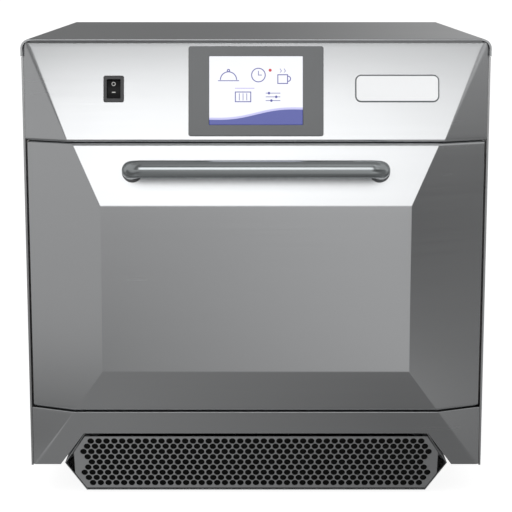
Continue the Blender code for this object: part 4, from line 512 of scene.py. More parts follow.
def cutter(low, high, matrix=Matrix.Identity(4)):
    """A box to cut with, between two corners in the matrix's frame."""
    low, high = Vector(low), Vector(high)
    place = matrix @ Matrix.Translation((low + high) / 2) @ Matrix.Diagonal((*(high - low), 1))
    bm = bmesh.new()
    bmesh.ops.create_cube(bm, size=1, matrix=place)
    tool = add_object("cutter", bm)
    tool.hide_render = True
    return tool


FASCIA_PROUD, FASCIA_DROP, FASCIA_RISE = 1.3 * MM, 2.6 * MM, 1.6 * MM
FASCIA_ROLL = 0.5 * MM
fascia_low, fascia_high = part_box("control_fascia")
FASCIA_BACK = fascia_high.y - CASING_FRONT
FASCIA = face_matrix(fascia_low.z, UPPER_TILT, FASCIA_PROUD)
SCREEN_HALF, SCREEN_TALL, SCREEN_RISE = 57.8 * MM, 42.4 * MM, 61.3 * MM
COLLAR = 6.3 * MM
SWITCH_X, SWITCH_RISE = -176 * MM, 63.3 * MM
BARREL_HALF, BARREL_TALL = 10.8 * MM, 14.2 * MM
windows = []
for x, rise, half, tall in (
    (0, SCREEN_RISE, SCREEN_HALF + COLLAR, SCREEN_TALL + COLLAR), (SWITCH_X, SWITCH_RISE, BARREL_HALF, BARREL_TALL),
):
    windows.append(cutter((x - half, -9 * MM, rise - tall), (x + half, 9 * MM, rise + tall), FASCIA))
fascia = front_sheet(
    fascia_high.x, fascia_low.z - FASCIA_DROP, fascia_high.z + FASCIA_RISE, FASCIA_BACK, FASCIA_PROUD,
    (2.5 * MM, 27 * MM), (3.8 * MM, 2.4 * MM), FASCIA_ROLL, spread=4.1 * MM,
)
place_piece(
    "upper_fascia", fascia, FRONT_STEEL, "casing", ["control_fascia"],
    wall=FRONT_SHEET, cutters=windows, sharp=24,
)


# ---------------------------------------------------------------- door
# The door's shell is folded to the same facets, with its edges rolled back. Two notches low
# in its rear edge clear the hinge arms, and the inner panel closes it from behind.

DOOR_ROLL, DOOR_CREASE, DOOR_SIDE_ROLL = 4 * MM, 2.5 * MM, 1.4 * MM
DOOR_DROP, DOOR_TRIM = 1 * MM, 0.4 * MM
door_low, door_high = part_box("door_skin")
DOOR_BACK = door_high.y - CASING_FRONT
NOTCH_HALF, NOTCH_DEEP, NOTCH_PAST = 4.05 * MM, 7.0 * MM, 5 * MM
hinge_x = sum(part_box("door_hinge_arm_right"), Vector()).x / 2
notch_y = (CASING_FRONT - NOTCH_DEEP, CASING_FRONT + DOOR_BACK + NOTCH_PAST)
notch_z = (door_low.z - NOTCH_PAST, door_low.z + DOOR_ROLL + FRONT_SHEET)
notches = []
for x in (-hinge_x, hinge_x):
    notches.append(cutter((x - NOTCH_HALF, notch_y[0], notch_z[0]), (x + NOTCH_HALF, notch_y[1], notch_z[1])))
door = front_sheet(
    door_high.x, door_low.z - DOOR_DROP, door_high.z - DOOR_TRIM, DOOR_BACK, 0,
    (DOOR_CREASE, DOOR_CREASE), (DOOR_ROLL, DOOR_ROLL), DOOR_SIDE_ROLL,
)
place_piece(
    "door_shell", door, FRONT_STEEL, "door", ["door_skin"],
    wall=FRONT_SHEET, cutters=notches, sharp=24,
)


# ---------------------------------------------------------------- lower fascia
# The lower fascia closes the front under the door. A wide trapezoid is cut from its lower
# edge for the air filter, which hangs in it and below it.

CUTOUT_RISE, CUTOUT_HALF, CUTOUT_LOW_HALF = 46 * MM, 221 * MM, 253.6 * MM
lower_low, lower_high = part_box("lower_fascia")
cut_top = lower_low.z + CUTOUT_RISE
flare = (CUTOUT_LOW_HALF - CUTOUT_HALF) / CUTOUT_RISE
lower = front_sheet(
    lower_high.x, lower_low.z, lower_high.z + FASCIA_RISE, FASCIA_BACK, FASCIA_PROUD,
    (18 * MM, 3 * MM), (1 * MM, 0.9 * MM), FASCIA_ROLL,
)
for x, way in ((0, UP), (CUTOUT_HALF, (1, 0, flare)), (-CUTOUT_HALF, (-1, 0, flare))):
    whole = lower.verts[:] + lower.edges[:] + lower.faces[:]
    bmesh.ops.bisect_plane(lower, geom=whole, plane_co=(x, 0, cut_top), plane_no=way)
gone = []
for face in lower.faces:
    middle = face.calc_center_median()
    if middle.z < cut_top and abs(middle.x) < CUTOUT_HALF + flare * (cut_top - middle.z):
        gone.append(face)
bmesh.ops.delete(lower, geom=gone, context="FACES")
place_piece(
    "under_fascia", lower, FRONT_STEEL, "casing", ["lower_fascia"], wall=FRONT_SHEET, sharp=24,
)


# ---------------------------------------------------------------- door handle
# The handle is one bent tube of polished stainless steel, screwed from inside the door
# through two turned flanges that sit square on the upper facet.

TUBE_STEEL = steel("handle_steel", (0.5, 0.53, 0.54), 0.2, (22, 1500, 1500), streak=0.03, dent=0.000006)
BOSS_STEEL = steel("boss_steel", (0.09, 0.092, 0.095), 0.3, (600, 600, 600), streak=0.01)
SEAT = 0.3 * MM
TUBE_RADIUS, HANDLE_BEND = 10.75 * MM, 16 * MM
HANDLE_HALF, HANDLE_REACH, HANDLE_DROP = 152.75 * MM, 46.6 * MM, 36 * MM
FLANGE_RADIUS, FLANGE_DEEP, FLANGE_ROUND = 13 * MM, 3 * MM, 0.8 * MM
HANDLE = face_matrix(door_high.z - HANDLE_DROP, UPPER_TILT, 0)


def lofted(rings, matrix, capped=True):
    """Skins rings into a solid; its ends are capped, or meet in one more ring."""
    bm = bmesh.new()
    made = add_grid(bm, [[matrix @ Vector(point) for point in ring] for ring in rings], close=True)
    if capped:
        bm.faces.new(made[0])
        bm.faces.new(made[-1])
    return tidy_mesh(bm)


def swept(path, radius, sides=32):
    """Rings for a tube along a path in the XY plane of its own frame."""
    rings = []
    for index, point in enumerate(path):
        before, after = path[max(index - 1, 0)], path[min(index + 1, len(path) - 1)]
        way = (Vector(after) - Vector(before)).normalized()
        across = Vector((-way.y, way.x, 0))
        turns = arc((0, 0), radius, 0, 360, sides)[:-1]
        rings.append([Vector(point) + across * a + Vector((0, 0, b)) for a, b in turns])
    return rings


bend = arc((HANDLE_BEND - HANDLE_HALF, HANDLE_BEND - HANDLE_REACH), HANDLE_BEND, 180, 270, 12)
left = [(-HANDLE_HALF, -FLANGE_DEEP - 2 * SEAT, 0), *((x, y, 0) for x, y in bend)]
left += [(left[-1][0] * share, -HANDLE_REACH, 0) for share in (0.75, 0.4)]
handle = lofted(swept(left + [(-x, y, z) for x, y, z in reversed(left)], TUBE_RADIUS), HANDLE)
place_piece("handle_bar", handle, TUBE_STEEL, "door", ["door_handle"], sharp=40)


def turned(bm, profile, matrix, sides=40):
    """A profile of (radius, height) points turned about the frame's Z."""
    rows = []
    for radius, height in profile:
        rows.append([matrix @ Vector((a, b, height)) for a, b in arc((0, 0), radius, 0, 360, sides)[:-1]])
    add_grid(bm, rows, close=True)


flanges = bmesh.new()
top = FLANGE_DEEP + SEAT
rim = arc((FLANGE_RADIUS - FLANGE_ROUND, top - FLANGE_ROUND), FLANGE_ROUND, 0, 90, 4)
for x in (-HANDLE_HALF, HANDLE_HALF):
    seat = HANDLE @ Matrix.Translation((x, 0, 0)) @ Matrix.Rotation(math.pi / 2, 4, "X")
    turned(flanges, [(0, SEAT), (FLANGE_RADIUS, SEAT), *rim, (0, top)], seat)
place_piece(
    "handle_flanges", tidy_mesh(flanges), BOSS_STEEL, "door",
    ["handle_flange_left", "handle_flange_right"], sharp=40,
)


# ---------------------------------------------------------------- display
# The touch screen is a bonded glass panel that sits just below the face of a moulded grey
# bezel. The bezel's collar passes through the fascia and is screwed on from behind.


def compound(name, colour, roughness, metallic=0.0, scale=900, depth=0.00004, mottle=0.1, coat=0.0):
    """A moulded, cast, plated or fired finish: fine bumps with a slow mottle in tone and gloss."""
    finish = Finish(name)
    finish.feed("Metallic", metallic)
    finish.feed("Coat Weight", coat)
    fine, slow = finish.noise(scale), finish.noise(16.0, 3.0)
    finish.feed("Base Color", finish.vary(slow * 0.7 + fine * 0.3, colour, mottle))
    finish.feed("Roughness", roughness - 0.05 + slow * 0.06 + fine * 0.04)
    finish.bump(fine, 0.5, depth)
    return finish.owner


def rounded_ring(half, tall, radius, y, middle=(0, 0), steps=6):
    """A rounded rectangle in the XZ plane as a ring of points."""
    ring = []
    for x, z, start in ((1, 1, 0), (-1, 1, 90), (-1, -1, 180), (1, -1, 270)):
        corner = (middle[0] + x * (half - radius), middle[1] + z * (tall - radius))
        ring += [(a, y, b) for a, b in arc(corner, radius, start, start + 90, steps)]
    return ring


def map_face(bm, matrix):
    """Gives a piece its place on the facet, in decimetres, as its UV map."""
    layer = bm.loops.layers.uv.new("facet")
    home = matrix.inverted()
    for face in bm.faces:
        for loop in face.loops:
            place = home @ loop.vert.co
            loop[layer].uv = (place.x * 10, place.z * 10)
    return bm


BEZEL_HALF, BEZEL_TALL, BEZEL_RISE = 83.5 * MM, 55.8 * MM, 60.5 * MM
BEZEL_FRONT, BEZEL_CORNER, COLLAR_END = -2.8 * MM, 3 * MM, 12 * MM
BEZEL, SCREEN = (0, BEZEL_RISE), (0, SCREEN_RISE)
BEZEL_GREY = compound("bezel_grey", (0.148, 0.153, 0.156), 0.5, scale=1500, depth=0.00002)
rings = [rounded_ring(BEZEL_HALF, BEZEL_TALL, BEZEL_CORNER, -SEAT, BEZEL)]
for inset, rise in ((0, 1.5), (0.2, 0.75), (0.44, 0.44), (0.75, 0.2), (1.5, 0)):
    half, tall = BEZEL_HALF - inset * MM, BEZEL_TALL - inset * MM
    rings.append(rounded_ring(half, tall, BEZEL_CORNER - inset * MM / 2, BEZEL_FRONT + rise * MM, BEZEL))
window = ((0.9, BEZEL_FRONT), (0.45, BEZEL_FRONT + 0.45 * MM), (0.3, COLLAR_END), (6, COLLAR_END), (6, -SEAT))
for grow, y in window:
    half, tall = SCREEN_HALF + grow * MM, SCREEN_TALL + grow * MM
    rings.append(rounded_ring(half, tall, (0.6 + grow / 5) * MM, y, SCREEN))
bezel = lofted(rings + [rings[0]], FASCIA, capped=False)
place_piece("screen_bezel", bezel, BEZEL_GREY, "casing", ["display_bezel"], sharp=50)

art = Finish("touch_screen_art")
across, up, _ = art.parts(art.coordinates("UV", (100, 100, 1)))
up = up - SCREEN_RISE / MM
SOFT = 0.3


def near(x, z):
    """The distance in millimetres from a point of the screen."""
    return ((across - x) * (across - x) + (up - z) * (up - z)).math("SQRT")


def block(x, z, half, tall):
    """How far a point lies outside an upright box."""
    return (abs(across - x) - half).most(abs(up - z) - tall)


def filled(distance):
    """1 inside a shape and 0 outside it, with a soft edge."""
    return 1 - distance.rise(-SOFT, SOFT)


def line(distance, width=1.15):
    """1 along a shape's edge."""
    return filled(abs(distance) - width / 2)


dish = line(near(-34, 13) - 10) * filled(13 - up)
dish = dish.most(filled(block(-34, 12, 13, 0.5))).most(line(near(-34, 24.6) - 1.4))
clock = line(near(3, 19) - 8.4).most(filled(block(3, 21.4, 0.45, 2.8))).most(filled(block(5, 19, 2.3, 0.45)))
mug = line(block(33, 14, 6, 5.4)).most(line(near(39.5, 14.4) - 3.2) * filled(39.4 - across))
for x in (30.5, 35.5):
    wave = abs(across - x - (up * 1.1).math("SINE") * 0.7) - 0.4
    mug = mug.most(filled(wave) * filled(abs(up - 24.6) - 2.4))
tray = line(block(-16, -8, 9.5, 6))
for x in (-20.6, -16, -11.4):
    tray = tray.most(filled(block(x, -8, 0.4, 4.4)))
sliders = filled(near(16, -3.4) - 1.6)
for z in (-3.4, -8, -12.6):
    sliders = sliders.most(filled(block(21, z, 9, 0.4)))
sliders = sliders.most(filled(near(25, -8) - 1.6)).most(filled(near(19, -12.6) - 1.6))
icons = dish.most(clock).most(mug).most(tray).most(sliders)
shore = up + 30 - across * 0.11 - (across * 0.055).math("SINE") * 2.4
picture = art.blend(icons, (0.90, 0.91, 0.96), (0.07, 0.07, 0.32))
picture = art.blend(filled(near(17.5, 25) - 1.9), picture, (0.60, 0.04, 0.05))
picture = art.blend(filled(block(-14, 2.6, 12, 0.55)), picture, (0.50, 0.45, 0.78))
picture = art.blend(filled(shore - 2.6), picture, (0.55, 0.55, 0.86))
picture = art.blend(filled(shore), picture, (0.08, 0.095, 0.35))
smudge = art.noise(30.0, 3.0)
art.feed("Base Color", art.blend(0.55 + smudge * 0.02, picture, (0, 0, 0)))
art.feed("Emission Color", picture)
art.feed("Emission Strength", 0.62)
art.feed("Roughness", 0.06 + smudge * 0.08)


def moulded(shape, middle, steps=6):
    """A solid on the fascia from rounded rings: half width, half height, corner and depth in mm."""
    rings = []
    for half, tall, radius, y in shape:
        rings.append(rounded_ring(half * MM, tall * MM, radius * MM, y * MM, middle, steps))
    return lofted(rings, FASCIA)


glass = moulded(((57.8, 42.4, 0.8, 12), (57.8, 42.4, 0.8, -1.9), (57.5, 42.1, 0.6, -2.2)), SCREEN)
place_piece("screen_glass", map_face(glass, FASCIA), art.owner, "casing", ["touch_screen"], sharp=50)


# ---------------------------------------------------------------- power switch
# A snap-in rocker switch: a flanged dark nylon housing pushed through the fascia, and a dished
# black rocker that pivots in it, printed with the generic on and off marks.

HOUSING_GREY = compound("housing_grey", (0.05, 0.05, 0.052), 0.45, scale=1800, depth=0.00002)
barrel = ((10.2, 13.6, 1, 22), (10.5, 13.9, 1, -0.3))
flange = ((12.65, 16.5, 2.4, -0.3), (12.65, 16.5, 2.4, -1.3), (12.35, 16.2, 2.2, -2.0), (11.65, 15.5, 2, -2.3))
well = ((8.8, 12.2, 1.2, -2.3), (8.3, 11.7, 0.8, -1.8), (8.3, 11.7, 0.8, 9.2))
housing = moulded((*barrel, *flange, *well), (SWITCH_X, SWITCH_RISE))
place_piece("switch_body", housing, HOUSING_GREY, "casing", ["switch_housing"], sharp=50)

ROCKER_TALL, ROCKER_FACE, ROCKER_DISH, ROCKER_BACK = 10.5, -4, 1.6, 4
PIVOT = Matrix.Translation((SWITCH_X, 2 * MM, SWITCH_RISE))
ROCKER = FASCIA @ PIVOT @ Matrix.Rotation(math.radians(6), 4, "X")
profile = []
for step in range(17):
    z = (step / 8 - 1) * ROCKER_TALL
    profile.append((z, ROCKER_FACE + ROCKER_DISH * max(0, 1 - (z / 10) ** 2)))
rings = []
for x, inset in ((-8, 0.5), (-7.85, 0.15), (-7.5, 0), (7.5, 0), (7.85, 0.15), (8, 0.5)):
    ring = [(x, min(y + inset, ROCKER_BACK - 0.2), z * (1 - inset / 20)) for z, y in profile]
    ring += [(x, ROCKER_BACK, ROCKER_TALL), (x, ROCKER_BACK, -ROCKER_TALL)]
    rings.append([Vector(point) * MM for point in ring])
rocker = map_face(lofted(rings, ROCKER), ROCKER)
printed = Finish("rocker_print")
across, up, _ = printed.parts(printed.coordinates("UV", (100, 100, 1)))
marks = line(near(0, 6.4) - 2.1, 0.7).most(filled(block(0, -3.9, 2.2, 0.5)))
grain = printed.noise(1800.0)
black = printed.blend(grain, (0.006,) * 3, (0.01,) * 3)
printed.feed("Base Color", printed.blend(marks, black, (0.62, 0.62, 0.6)))
printed.feed("Specular IOR Level", 0.15)
printed.feed("Roughness", 0.32 + grain * 0.08)
printed.bump(grain, 0.4, 0.00002)
place_piece("rocker_button", rocker, printed.owner, "rocker", ["switch_rocker"], sharp=40)


# ---------------------------------------------------------------- badge plate
# A bare plate of white enamelled steel with rounded corners and a thin dark rim, stuck to the
# fascia with double-sided tape. It carries no lettering.

ENAMEL = compound("white_enamel", (0.87, 0.88, 0.89), 0.22, scale=240, depth=0.00003, mottle=0.015, coat=0.4)
BADGE_X, BADGE_RISE = 174.6, 63.8
BADGE_HALF, BADGE_TALL, BADGE_CORNER, BADGE_RIM = 52, 17, 7.5, 1.6
enamel = Finish(ENAMEL)
colour = enamel.tree.nodes["Principled BSDF"].inputs["Base Color"]
white = Term(enamel, colour.links[0].from_socket)
across, up, _ = enamel.parts(enamel.coordinates("UV", (100, 100, 1)))
beside = (abs(across - BADGE_X) - BADGE_HALF + BADGE_CORNER).most(0)
above = (abs(up - BADGE_RISE) - BADGE_TALL + BADGE_CORNER).most(0)
rim = (beside * beside + above * above).math("SQRT") - BADGE_CORNER + BADGE_RIM
enamel.feed(colour, enamel.blend(rim.rise(-0.15, 0.15), white, (0.1, 0.11, 0.115)))
shape = []
for inset, y in ((0, -0.3), (0, -2.1), (0.2, -2.4), (0.5, -2.5), (1.1, -2.5), (1.4, -2.3), (1.8, -2.2)):
    shape.append((BADGE_HALF - inset, BADGE_TALL - inset, BADGE_CORNER - inset, y))
badge = map_face(moulded(shape, (BADGE_X * MM, BADGE_RISE * MM), 10), FASCIA)
place_piece("plain_badge", badge, ENAMEL, "casing", ["badge_plate"], sharp=60)


# ---------------------------------------------------------------- air filter
# A six-sided steel tray with a perforated front plate and a washable mesh pad. It hangs in the
# lower fascia's cut-out on two pegs of the front bulkhead, and pulls straight forwards.


class Recipe(Finish):
    """A geometry node tree that reads its sizes from named inputs and makes a plain mesh."""

    KINDS = {int: "Int", float: "Float", tuple: "Vector", bpy.types.Object: "Object"}

    def __init__(self, name, sizes):
        self.tree = bpy.data.node_groups.new(name, "GeometryNodeTree")
        self.add_socket("Geometry", "Geometry")
        self.add_socket("Geometry", "Geometry", "OUTPUT")
        self.add_socket("Material", "Material")
        for key, value in sizes.items():
            self.add_socket(key, next(name for kind, name in self.KINDS.items() if isinstance(value, kind)))
        self.given = self.tree.nodes.new("NodeGroupInput")
        self.sizes = sizes

    def add_socket(self, key, kind, way="INPUT"):
        self.tree.interface.new_socket(key, in_out=way, socket_type=f"NodeSocket{kind}")

    def __getitem__(self, key):
        return Term(self, self.given.outputs[key])

    def joined(self, *shapes):
        whole = self.node("GeometryNodeJoinGeometry")
        for shape in shapes:
            self.tree.links.new(shape.socket, whole.socket.node.inputs[0])
        return whole

    def make(self, shape, material, base=None):
        """The tree's result as a bmesh. base is the mesh that goes in as its geometry."""
        real = self.node("GeometryNodeRealizeInstances", {0: shape})
        dressed = self.node("GeometryNodeSetMaterial", {"Geometry": real, "Material": self["Material"]})
        self.tree.links.new(dressed.socket, self.tree.nodes.new("NodeGroupOutput").inputs[0])
        carrier = add_object(self.tree.name, base or bmesh.new())
        modifier = carrier.modifiers.new("recipe", "NODES")
        modifier.node_group = self.tree
        values = {**self.sizes, "Material": material}
        for item in self.tree.interface.items_tree:
            if item.in_out == "INPUT" and item.name in values:
                modifier[item.identifier] = values[item.name]
        bm = bmesh.new()
        bm.from_mesh(settle(carrier))
        bpy.data.objects.remove(carrier)
        return bm


def perforated(name, corners, material, sizes):
    """A flat sheet with rows of round holes, in the XY plane. Rows shift and shorten by turns."""
    recipe = Recipe(name, sizes)
    pitch, step = recipe["Pitch"], recipe["Step"]
    wide, tall = (recipe["Columns"] - 1) * pitch, (recipe["Rows"] - 1) * step
    values = {"Size X": wide, "Size Y": tall, "Vertices X": recipe["Columns"], "Vertices Y": recipe["Rows"]}
    grid = recipe.node("GeometryNodeMeshGrid", values)
    x, y, _ = recipe.parts(recipe.node("GeometryNodeInputPosition"))
    row = ((tall / 2 - y) / step).math("ROUND")
    shift = row.math("MODULO", 2) * pitch * recipe["Shift"]
    reach = (recipe["Columns"] - 1 - abs(row.math("MODULO", 4) - 2) * recipe["Cut"]) * pitch * 0.5
    outside = abs(x + shift).math("GREATER_THAN", reach + pitch * 0.1)
    kept = recipe.node("GeometryNodeDeleteGeometry", {"Geometry": grid, "Selection": outside})
    offset = recipe.node("ShaderNodeCombineXYZ", {"X": shift, "Y": recipe["Middle"]})
    moved = recipe.node("GeometryNodeSetPosition", {"Geometry": kept, "Offset": offset})
    values = {"Resolution": recipe["Sides"], "Radius": recipe["Radius"]}
    circle = recipe.node("GeometryNodeCurvePrimitiveCircle", values)
    holes = recipe.node("GeometryNodeInstanceOnPoints", {"Points": moved, "Instance": circle})
    rim = recipe.node("GeometryNodeMeshToCurve", {"Mesh": recipe["Geometry"]})
    real = recipe.node("GeometryNodeRealizeInstances", {0: recipe.joined(rim, holes)})
    base = bmesh.new()
    ring = [base.verts.new((*corner, 0)) for corner in corners]
    for first, second in zip(ring, ring[1:] + ring[:1]):
        base.edges.new((first, second))
    return recipe.make(recipe.node("GeometryNodeFillCurve", {"Curve": real}), material, base)


filter_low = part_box("air_filter_frame")[0]
FILTER_SETBACK, PLATE_FRONT, PLATE_SHEET = 3 * MM, 0.3 * MM, 1.2 * MM
filter_y = FRONT_DEPTH * (PANEL_LOW - LOWER_RUN - filter_low.z) / LOWER_RUN + FILTER_SETBACK / math.cos(LOWER_TILT)
FILTER = Matrix.Translation((0, CASING_FRONT + filter_y, filter_low.z)) @ Matrix.Rotation(LOWER_TILT, 4, "X")
corners = [(x * MM, y * MM) for x, y in ((221.6, 3.3), (236, 26.54), (236, 59.05), (220.9, 83.3))]
plate_top = corners[-1][1]
corners += [(-x, y) for x, y in reversed(corners)]
holes = {
    "Radius": 4.3 * MM, "Pitch": 10.164 * MM, "Step": 8.134 * MM, "Columns": 45, "Rows": 9,
    "Sides": 14, "Shift": 0.5, "Cut": 1.0, "Middle": 43.74 * MM,
}
GRILLE_STEEL = steel("grille_steel", (0.72, 0.73, 0.74), 0.36, (22, 22, 1500))
grille = perforated("grille", corners, GRILLE_STEEL, holes)
upright = Matrix.Translation((0, PLATE_FRONT, 0)) @ Matrix.Rotation(math.pi / 2, 4, "X")
bmesh.ops.transform(grille, matrix=FILTER @ upright, verts=grille.verts)
place_piece(
    "filter_grille", tidy_mesh(grille, FORWARDS), GRILLE_STEEL, "air_filter",
    ["air_filter_grille"], wall=PLATE_SHEET, sharp=40,
)


nodes = frame["nodes"]


def refine(name, node, material, edge=0.3 * MM, steps=2, sharp=35, adjust=None):
    """A finished piece in the shape of a CAD node, with its edges rounded. adjust(bm) may shape it first."""
    source = nodes[node]
    body = source.parent.name.split(":")[1]
    bm = bmesh.new()
    bm.from_mesh(source.data)
    bmesh.ops.remove_doubles(bm, verts=bm.verts, dist=5e-6)
    bmesh.ops.dissolve_limit(bm, angle_limit=math.radians(0.5), verts=bm.verts, edges=bm.edges)
    bmesh.ops.recalc_face_normals(bm, faces=bm.faces)
    for face in bm.faces:
        face.material_index = 0
    if adjust:
        adjust(bm)
    return place_piece(name, bm, material, body, [node], edge=edge, edge_steps=steps, sharp=sharp)


TRAY_STEEL = steel("tray_steel", (0.66, 0.67, 0.68), 0.34, (22, 22, 1500))
TRAY_RECESS = 4 * MM


def recess_top(bm):
    """The tray's top wall stops short of the plate, which leaves a shadow line over it."""
    home = FILTER.inverted()
    for vert in bm.verts:
        place = home @ vert.co
        if place.z > plate_top + 0.3 * MM and place.y < 2 * MM:
            vert.co = FILTER @ (place + Vector((0, TRAY_RECESS, 0)))


refine("filter_tray", "air_filter_frame", TRAY_STEEL, adjust=recess_top)
mesh_pad = Finish("filter_mesh_pad")
across, _, up = mesh_pad.parts(mesh_pad.coordinates())
weave = (across * 5200).math("SINE").most((up * 5200).math("SINE"))
dust = mesh_pad.noise(35.0, 4.0)
mesh_pad.feed("Base Color", mesh_pad.blend(weave * 0.5 + dust * 0.3, (0.004,) * 3, (0.014, 0.014, 0.013)))
mesh_pad.feed("Specular IOR Level", 0.05)
mesh_pad.feed("Roughness", 0.75 + dust * 0.2)
mesh_pad.bump(weave, 0.8, 0.0003)
refine("filter_pad", "air_filter_pad", mesh_pad.owner, 0.6 * MM)


# ---------------------------------------------------------------- casing sheets
# The sides are stainless sheets with hemmed front edges; the back is one sheet with two banks
# of exhaust louvres. A folded cowl over them turns the air down and keeps the wall away.

PANEL_STEEL = steel("panel_steel", (0.52, 0.525, 0.53), 0.36, (22, 22, 1300))
REAR_STEEL = steel("rear_steel", (0.50, 0.505, 0.51), 0.4, (1300, 22, 22))
for side in ("left", "right"):
    refine(f"side_sheet_{side}", f"side_panel_{side}", PANEL_STEEL, 0.4 * MM)
refine("back_sheet", "rear_panel", REAR_STEEL, 0.35 * MM)
refine("exhaust_hood", "exhaust_cowl", REAR_STEEL, 0.5 * MM)


# ---------------------------------------------------------------- casing screws
# Zinc-plated pan-head screws with cross recesses hold the lid, the rear sheet and the cowl;
# thin-headed ones hold the side sheets to the base pan.


def cross_head(radius, rise, recess):
    """A screw head on the XY plane, domed towards +Z, with a cross recess."""
    dome = ((0, 0), (1, 0), (1, 0.35), (0.93, 0.62), (0.72, 0.87), (0, 1))
    bm = bmesh.new()
    turned(bm, [(radius * across, rise * up) for across, up in dome], Matrix.Identity(4), 24)
    head = add_object("screw_head", tidy_mesh(bm))
    slots = []
    for long, wide in ((radius * 0.62, radius * 0.13), (radius * 0.13, radius * 0.62)):
        slots.append(cutter((-long, -wide, rise - recess), (long, wide, rise * 2)))
        modify(head, "BOOLEAN", object=slots[-1], solver="EXACT")
    settle(head, slots)
    return head


def scattered(name, places, thing, turn, material):
    """Copies of one thing at these points, turned one way, each with its own spin."""
    recipe = Recipe(name, {"Thing": thing, "Turn": tuple(turn), "Spin": math.pi})
    info = recipe.node("GeometryNodeObjectInfo", {"Object": recipe["Thing"]}, output="Geometry")
    chance = recipe.node("FunctionNodeRandomValue", {2: 0.0, 3: recipe["Spin"], "Seed": 7}, output=1)
    values = {"Points": recipe["Geometry"], "Instance": info, "Rotation": recipe["Turn"]}
    copies = recipe.node("GeometryNodeInstanceOnPoints", values)
    values = {"Instances": copies, "Rotation": recipe.node("ShaderNodeCombineXYZ", {"Z": chance})}
    turned_copies = recipe.node("GeometryNodeRotateInstances", values)
    base = bmesh.new()
    for place in places:
        base.verts.new(place)
    made = recipe.make(turned_copies, material, base)
    bpy.data.objects.remove(thing)
    return made


def merged(*parts):
    """Several bmeshes as one."""
    whole = bmesh.new()
    for part in parts:
        mesh = bpy.data.meshes.new("part")
        part.to_mesh(mesh)
        part.free()
        whole.from_mesh(mesh)
        bpy.data.meshes.remove(mesh)
    return whole


ZINC = compound("zinc_plate", (0.55, 0.55, 0.53), 0.34, metallic=1.0, scale=700, depth=0.00001)
rear_low, rear_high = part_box("rear_panel")
cowl_low, cowl_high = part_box("exhaust_cowl")
side_low, side_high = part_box("side_panel_right")
quarter = math.pi / 2
back_y = rear_high.y
REAR_SCREW = (4 * MM, 1.8 * MM, 1.0 * MM)  # radius, rise and the recess's depth
SIDE_SCREW = (3.6 * MM, 0.45 * MM, 0.3 * MM)
OUTER_X, INNER_X = 0.276, 0.1
rows = (rear_low.z + 0.012, rear_high.z - 0.03)
backs = [(x, back_y, z) for x in (-OUTER_X, -INNER_X, INNER_X, OUTER_X) for z in rows]
backs += [(x, back_y, z) for x in (-OUTER_X, OUTER_X) for z in (0.2, 0.37)]
sets = [("back_screws", backs, REAR_SCREW, (-quarter, 0, 0))]
for side in (-1, 1):
    lows = [(side * side_high.x, y, side_low.z + 12 * MM) for y in (-0.21, -0.05, 0.11, 0.28)]
    hoods = [(side * cowl_high.x, cowl_low.y + 6 * MM, cowl_low.z + z) for z in (0.014, 0.1)]
    sets.append(("side_screws", lows, SIDE_SCREW, (0, side * quarter, 0)))
    sets.append(("hood_screws", hoods, REAR_SCREW, (0, side * quarter, 0)))
screws = [scattered(name, places, cross_head(*head), turn, ZINC) for name, places, head, turn in sets]
place_piece("casing_screws", merged(*screws), ZINC, "casing", sharp=40)


# ---------------------------------------------------------------- feet and base
# Four moulded rubber feet are bolted under a folded tray of galvanised steel, which carries
# the cooling fan and the transformers. A cross wall closes it at the front.

RUBBER = compound("foot_rubber", (0.02, 0.02, 0.021), 0.68, scale=600, depth=0.00008)
top = [(0, 41.7), (14, 41.7), (14.6, 40.5), (19.4, 31.2), (20, 29.7), (20, 26.2)]
rib = [(18.8, 25.2), (18.8, 23.8), (20, 22.8), (20, 19.2), (18.8, 18.2), (18.8, 16.8), (20, 15.8)]
sole = [*arc((17, 3), 3, 0, -90, 5), (12, 0.0), (11, 1.2), (0, 1.2)]
profile = [(radius * MM, z * MM) for radius, z in top + rib + sole]
feet = bmesh.new()
foot_names = [f"foot_{end}_{side}" for end in ("front", "rear") for side in ("left", "right")]
for name in foot_names:
    middle = sum(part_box(name), Vector()) / 2
    turned(feet, profile, Matrix.Translation((middle.x, middle.y, 0)), 48)
place_piece("rubber_feet", tidy_mesh(feet), RUBBER, "casing", foot_names, sharp=30)

spangled = Finish("galvanised_spangle")
spangled.feed("Metallic", 0.9)
values = {"Vector": spangled.coordinates(), "Scale": 110.0}
tone, gloss, _ = spangled.parts(spangled.node("ShaderNodeTexVoronoi", values, output="Color"))
haze = spangled.noise(12.0, 3.0)
spangled.feed("Base Color", spangled.blend(tone * 0.7 + haze * 0.3, (0.46, 0.47, 0.49), (0.60, 0.61, 0.62)))
spangled.feed("Roughness", 0.34 + gloss * 0.16)
spangled.bump(tone, 0.2, 0.00002)
SPANGLE = spangled.owner
refine("base_tray", "base_pan", SPANGLE, 0.4 * MM)
refine("cross_wall", "front_bulkhead", SPANGLE)


# ---------------------------------------------------------------- cord gland
# A nylon gland with a hexagonal body and a ribbed dome nut, clamped through the rear sheet
# with a lock nut inside. Its rubber bush is ready for the supply cord.

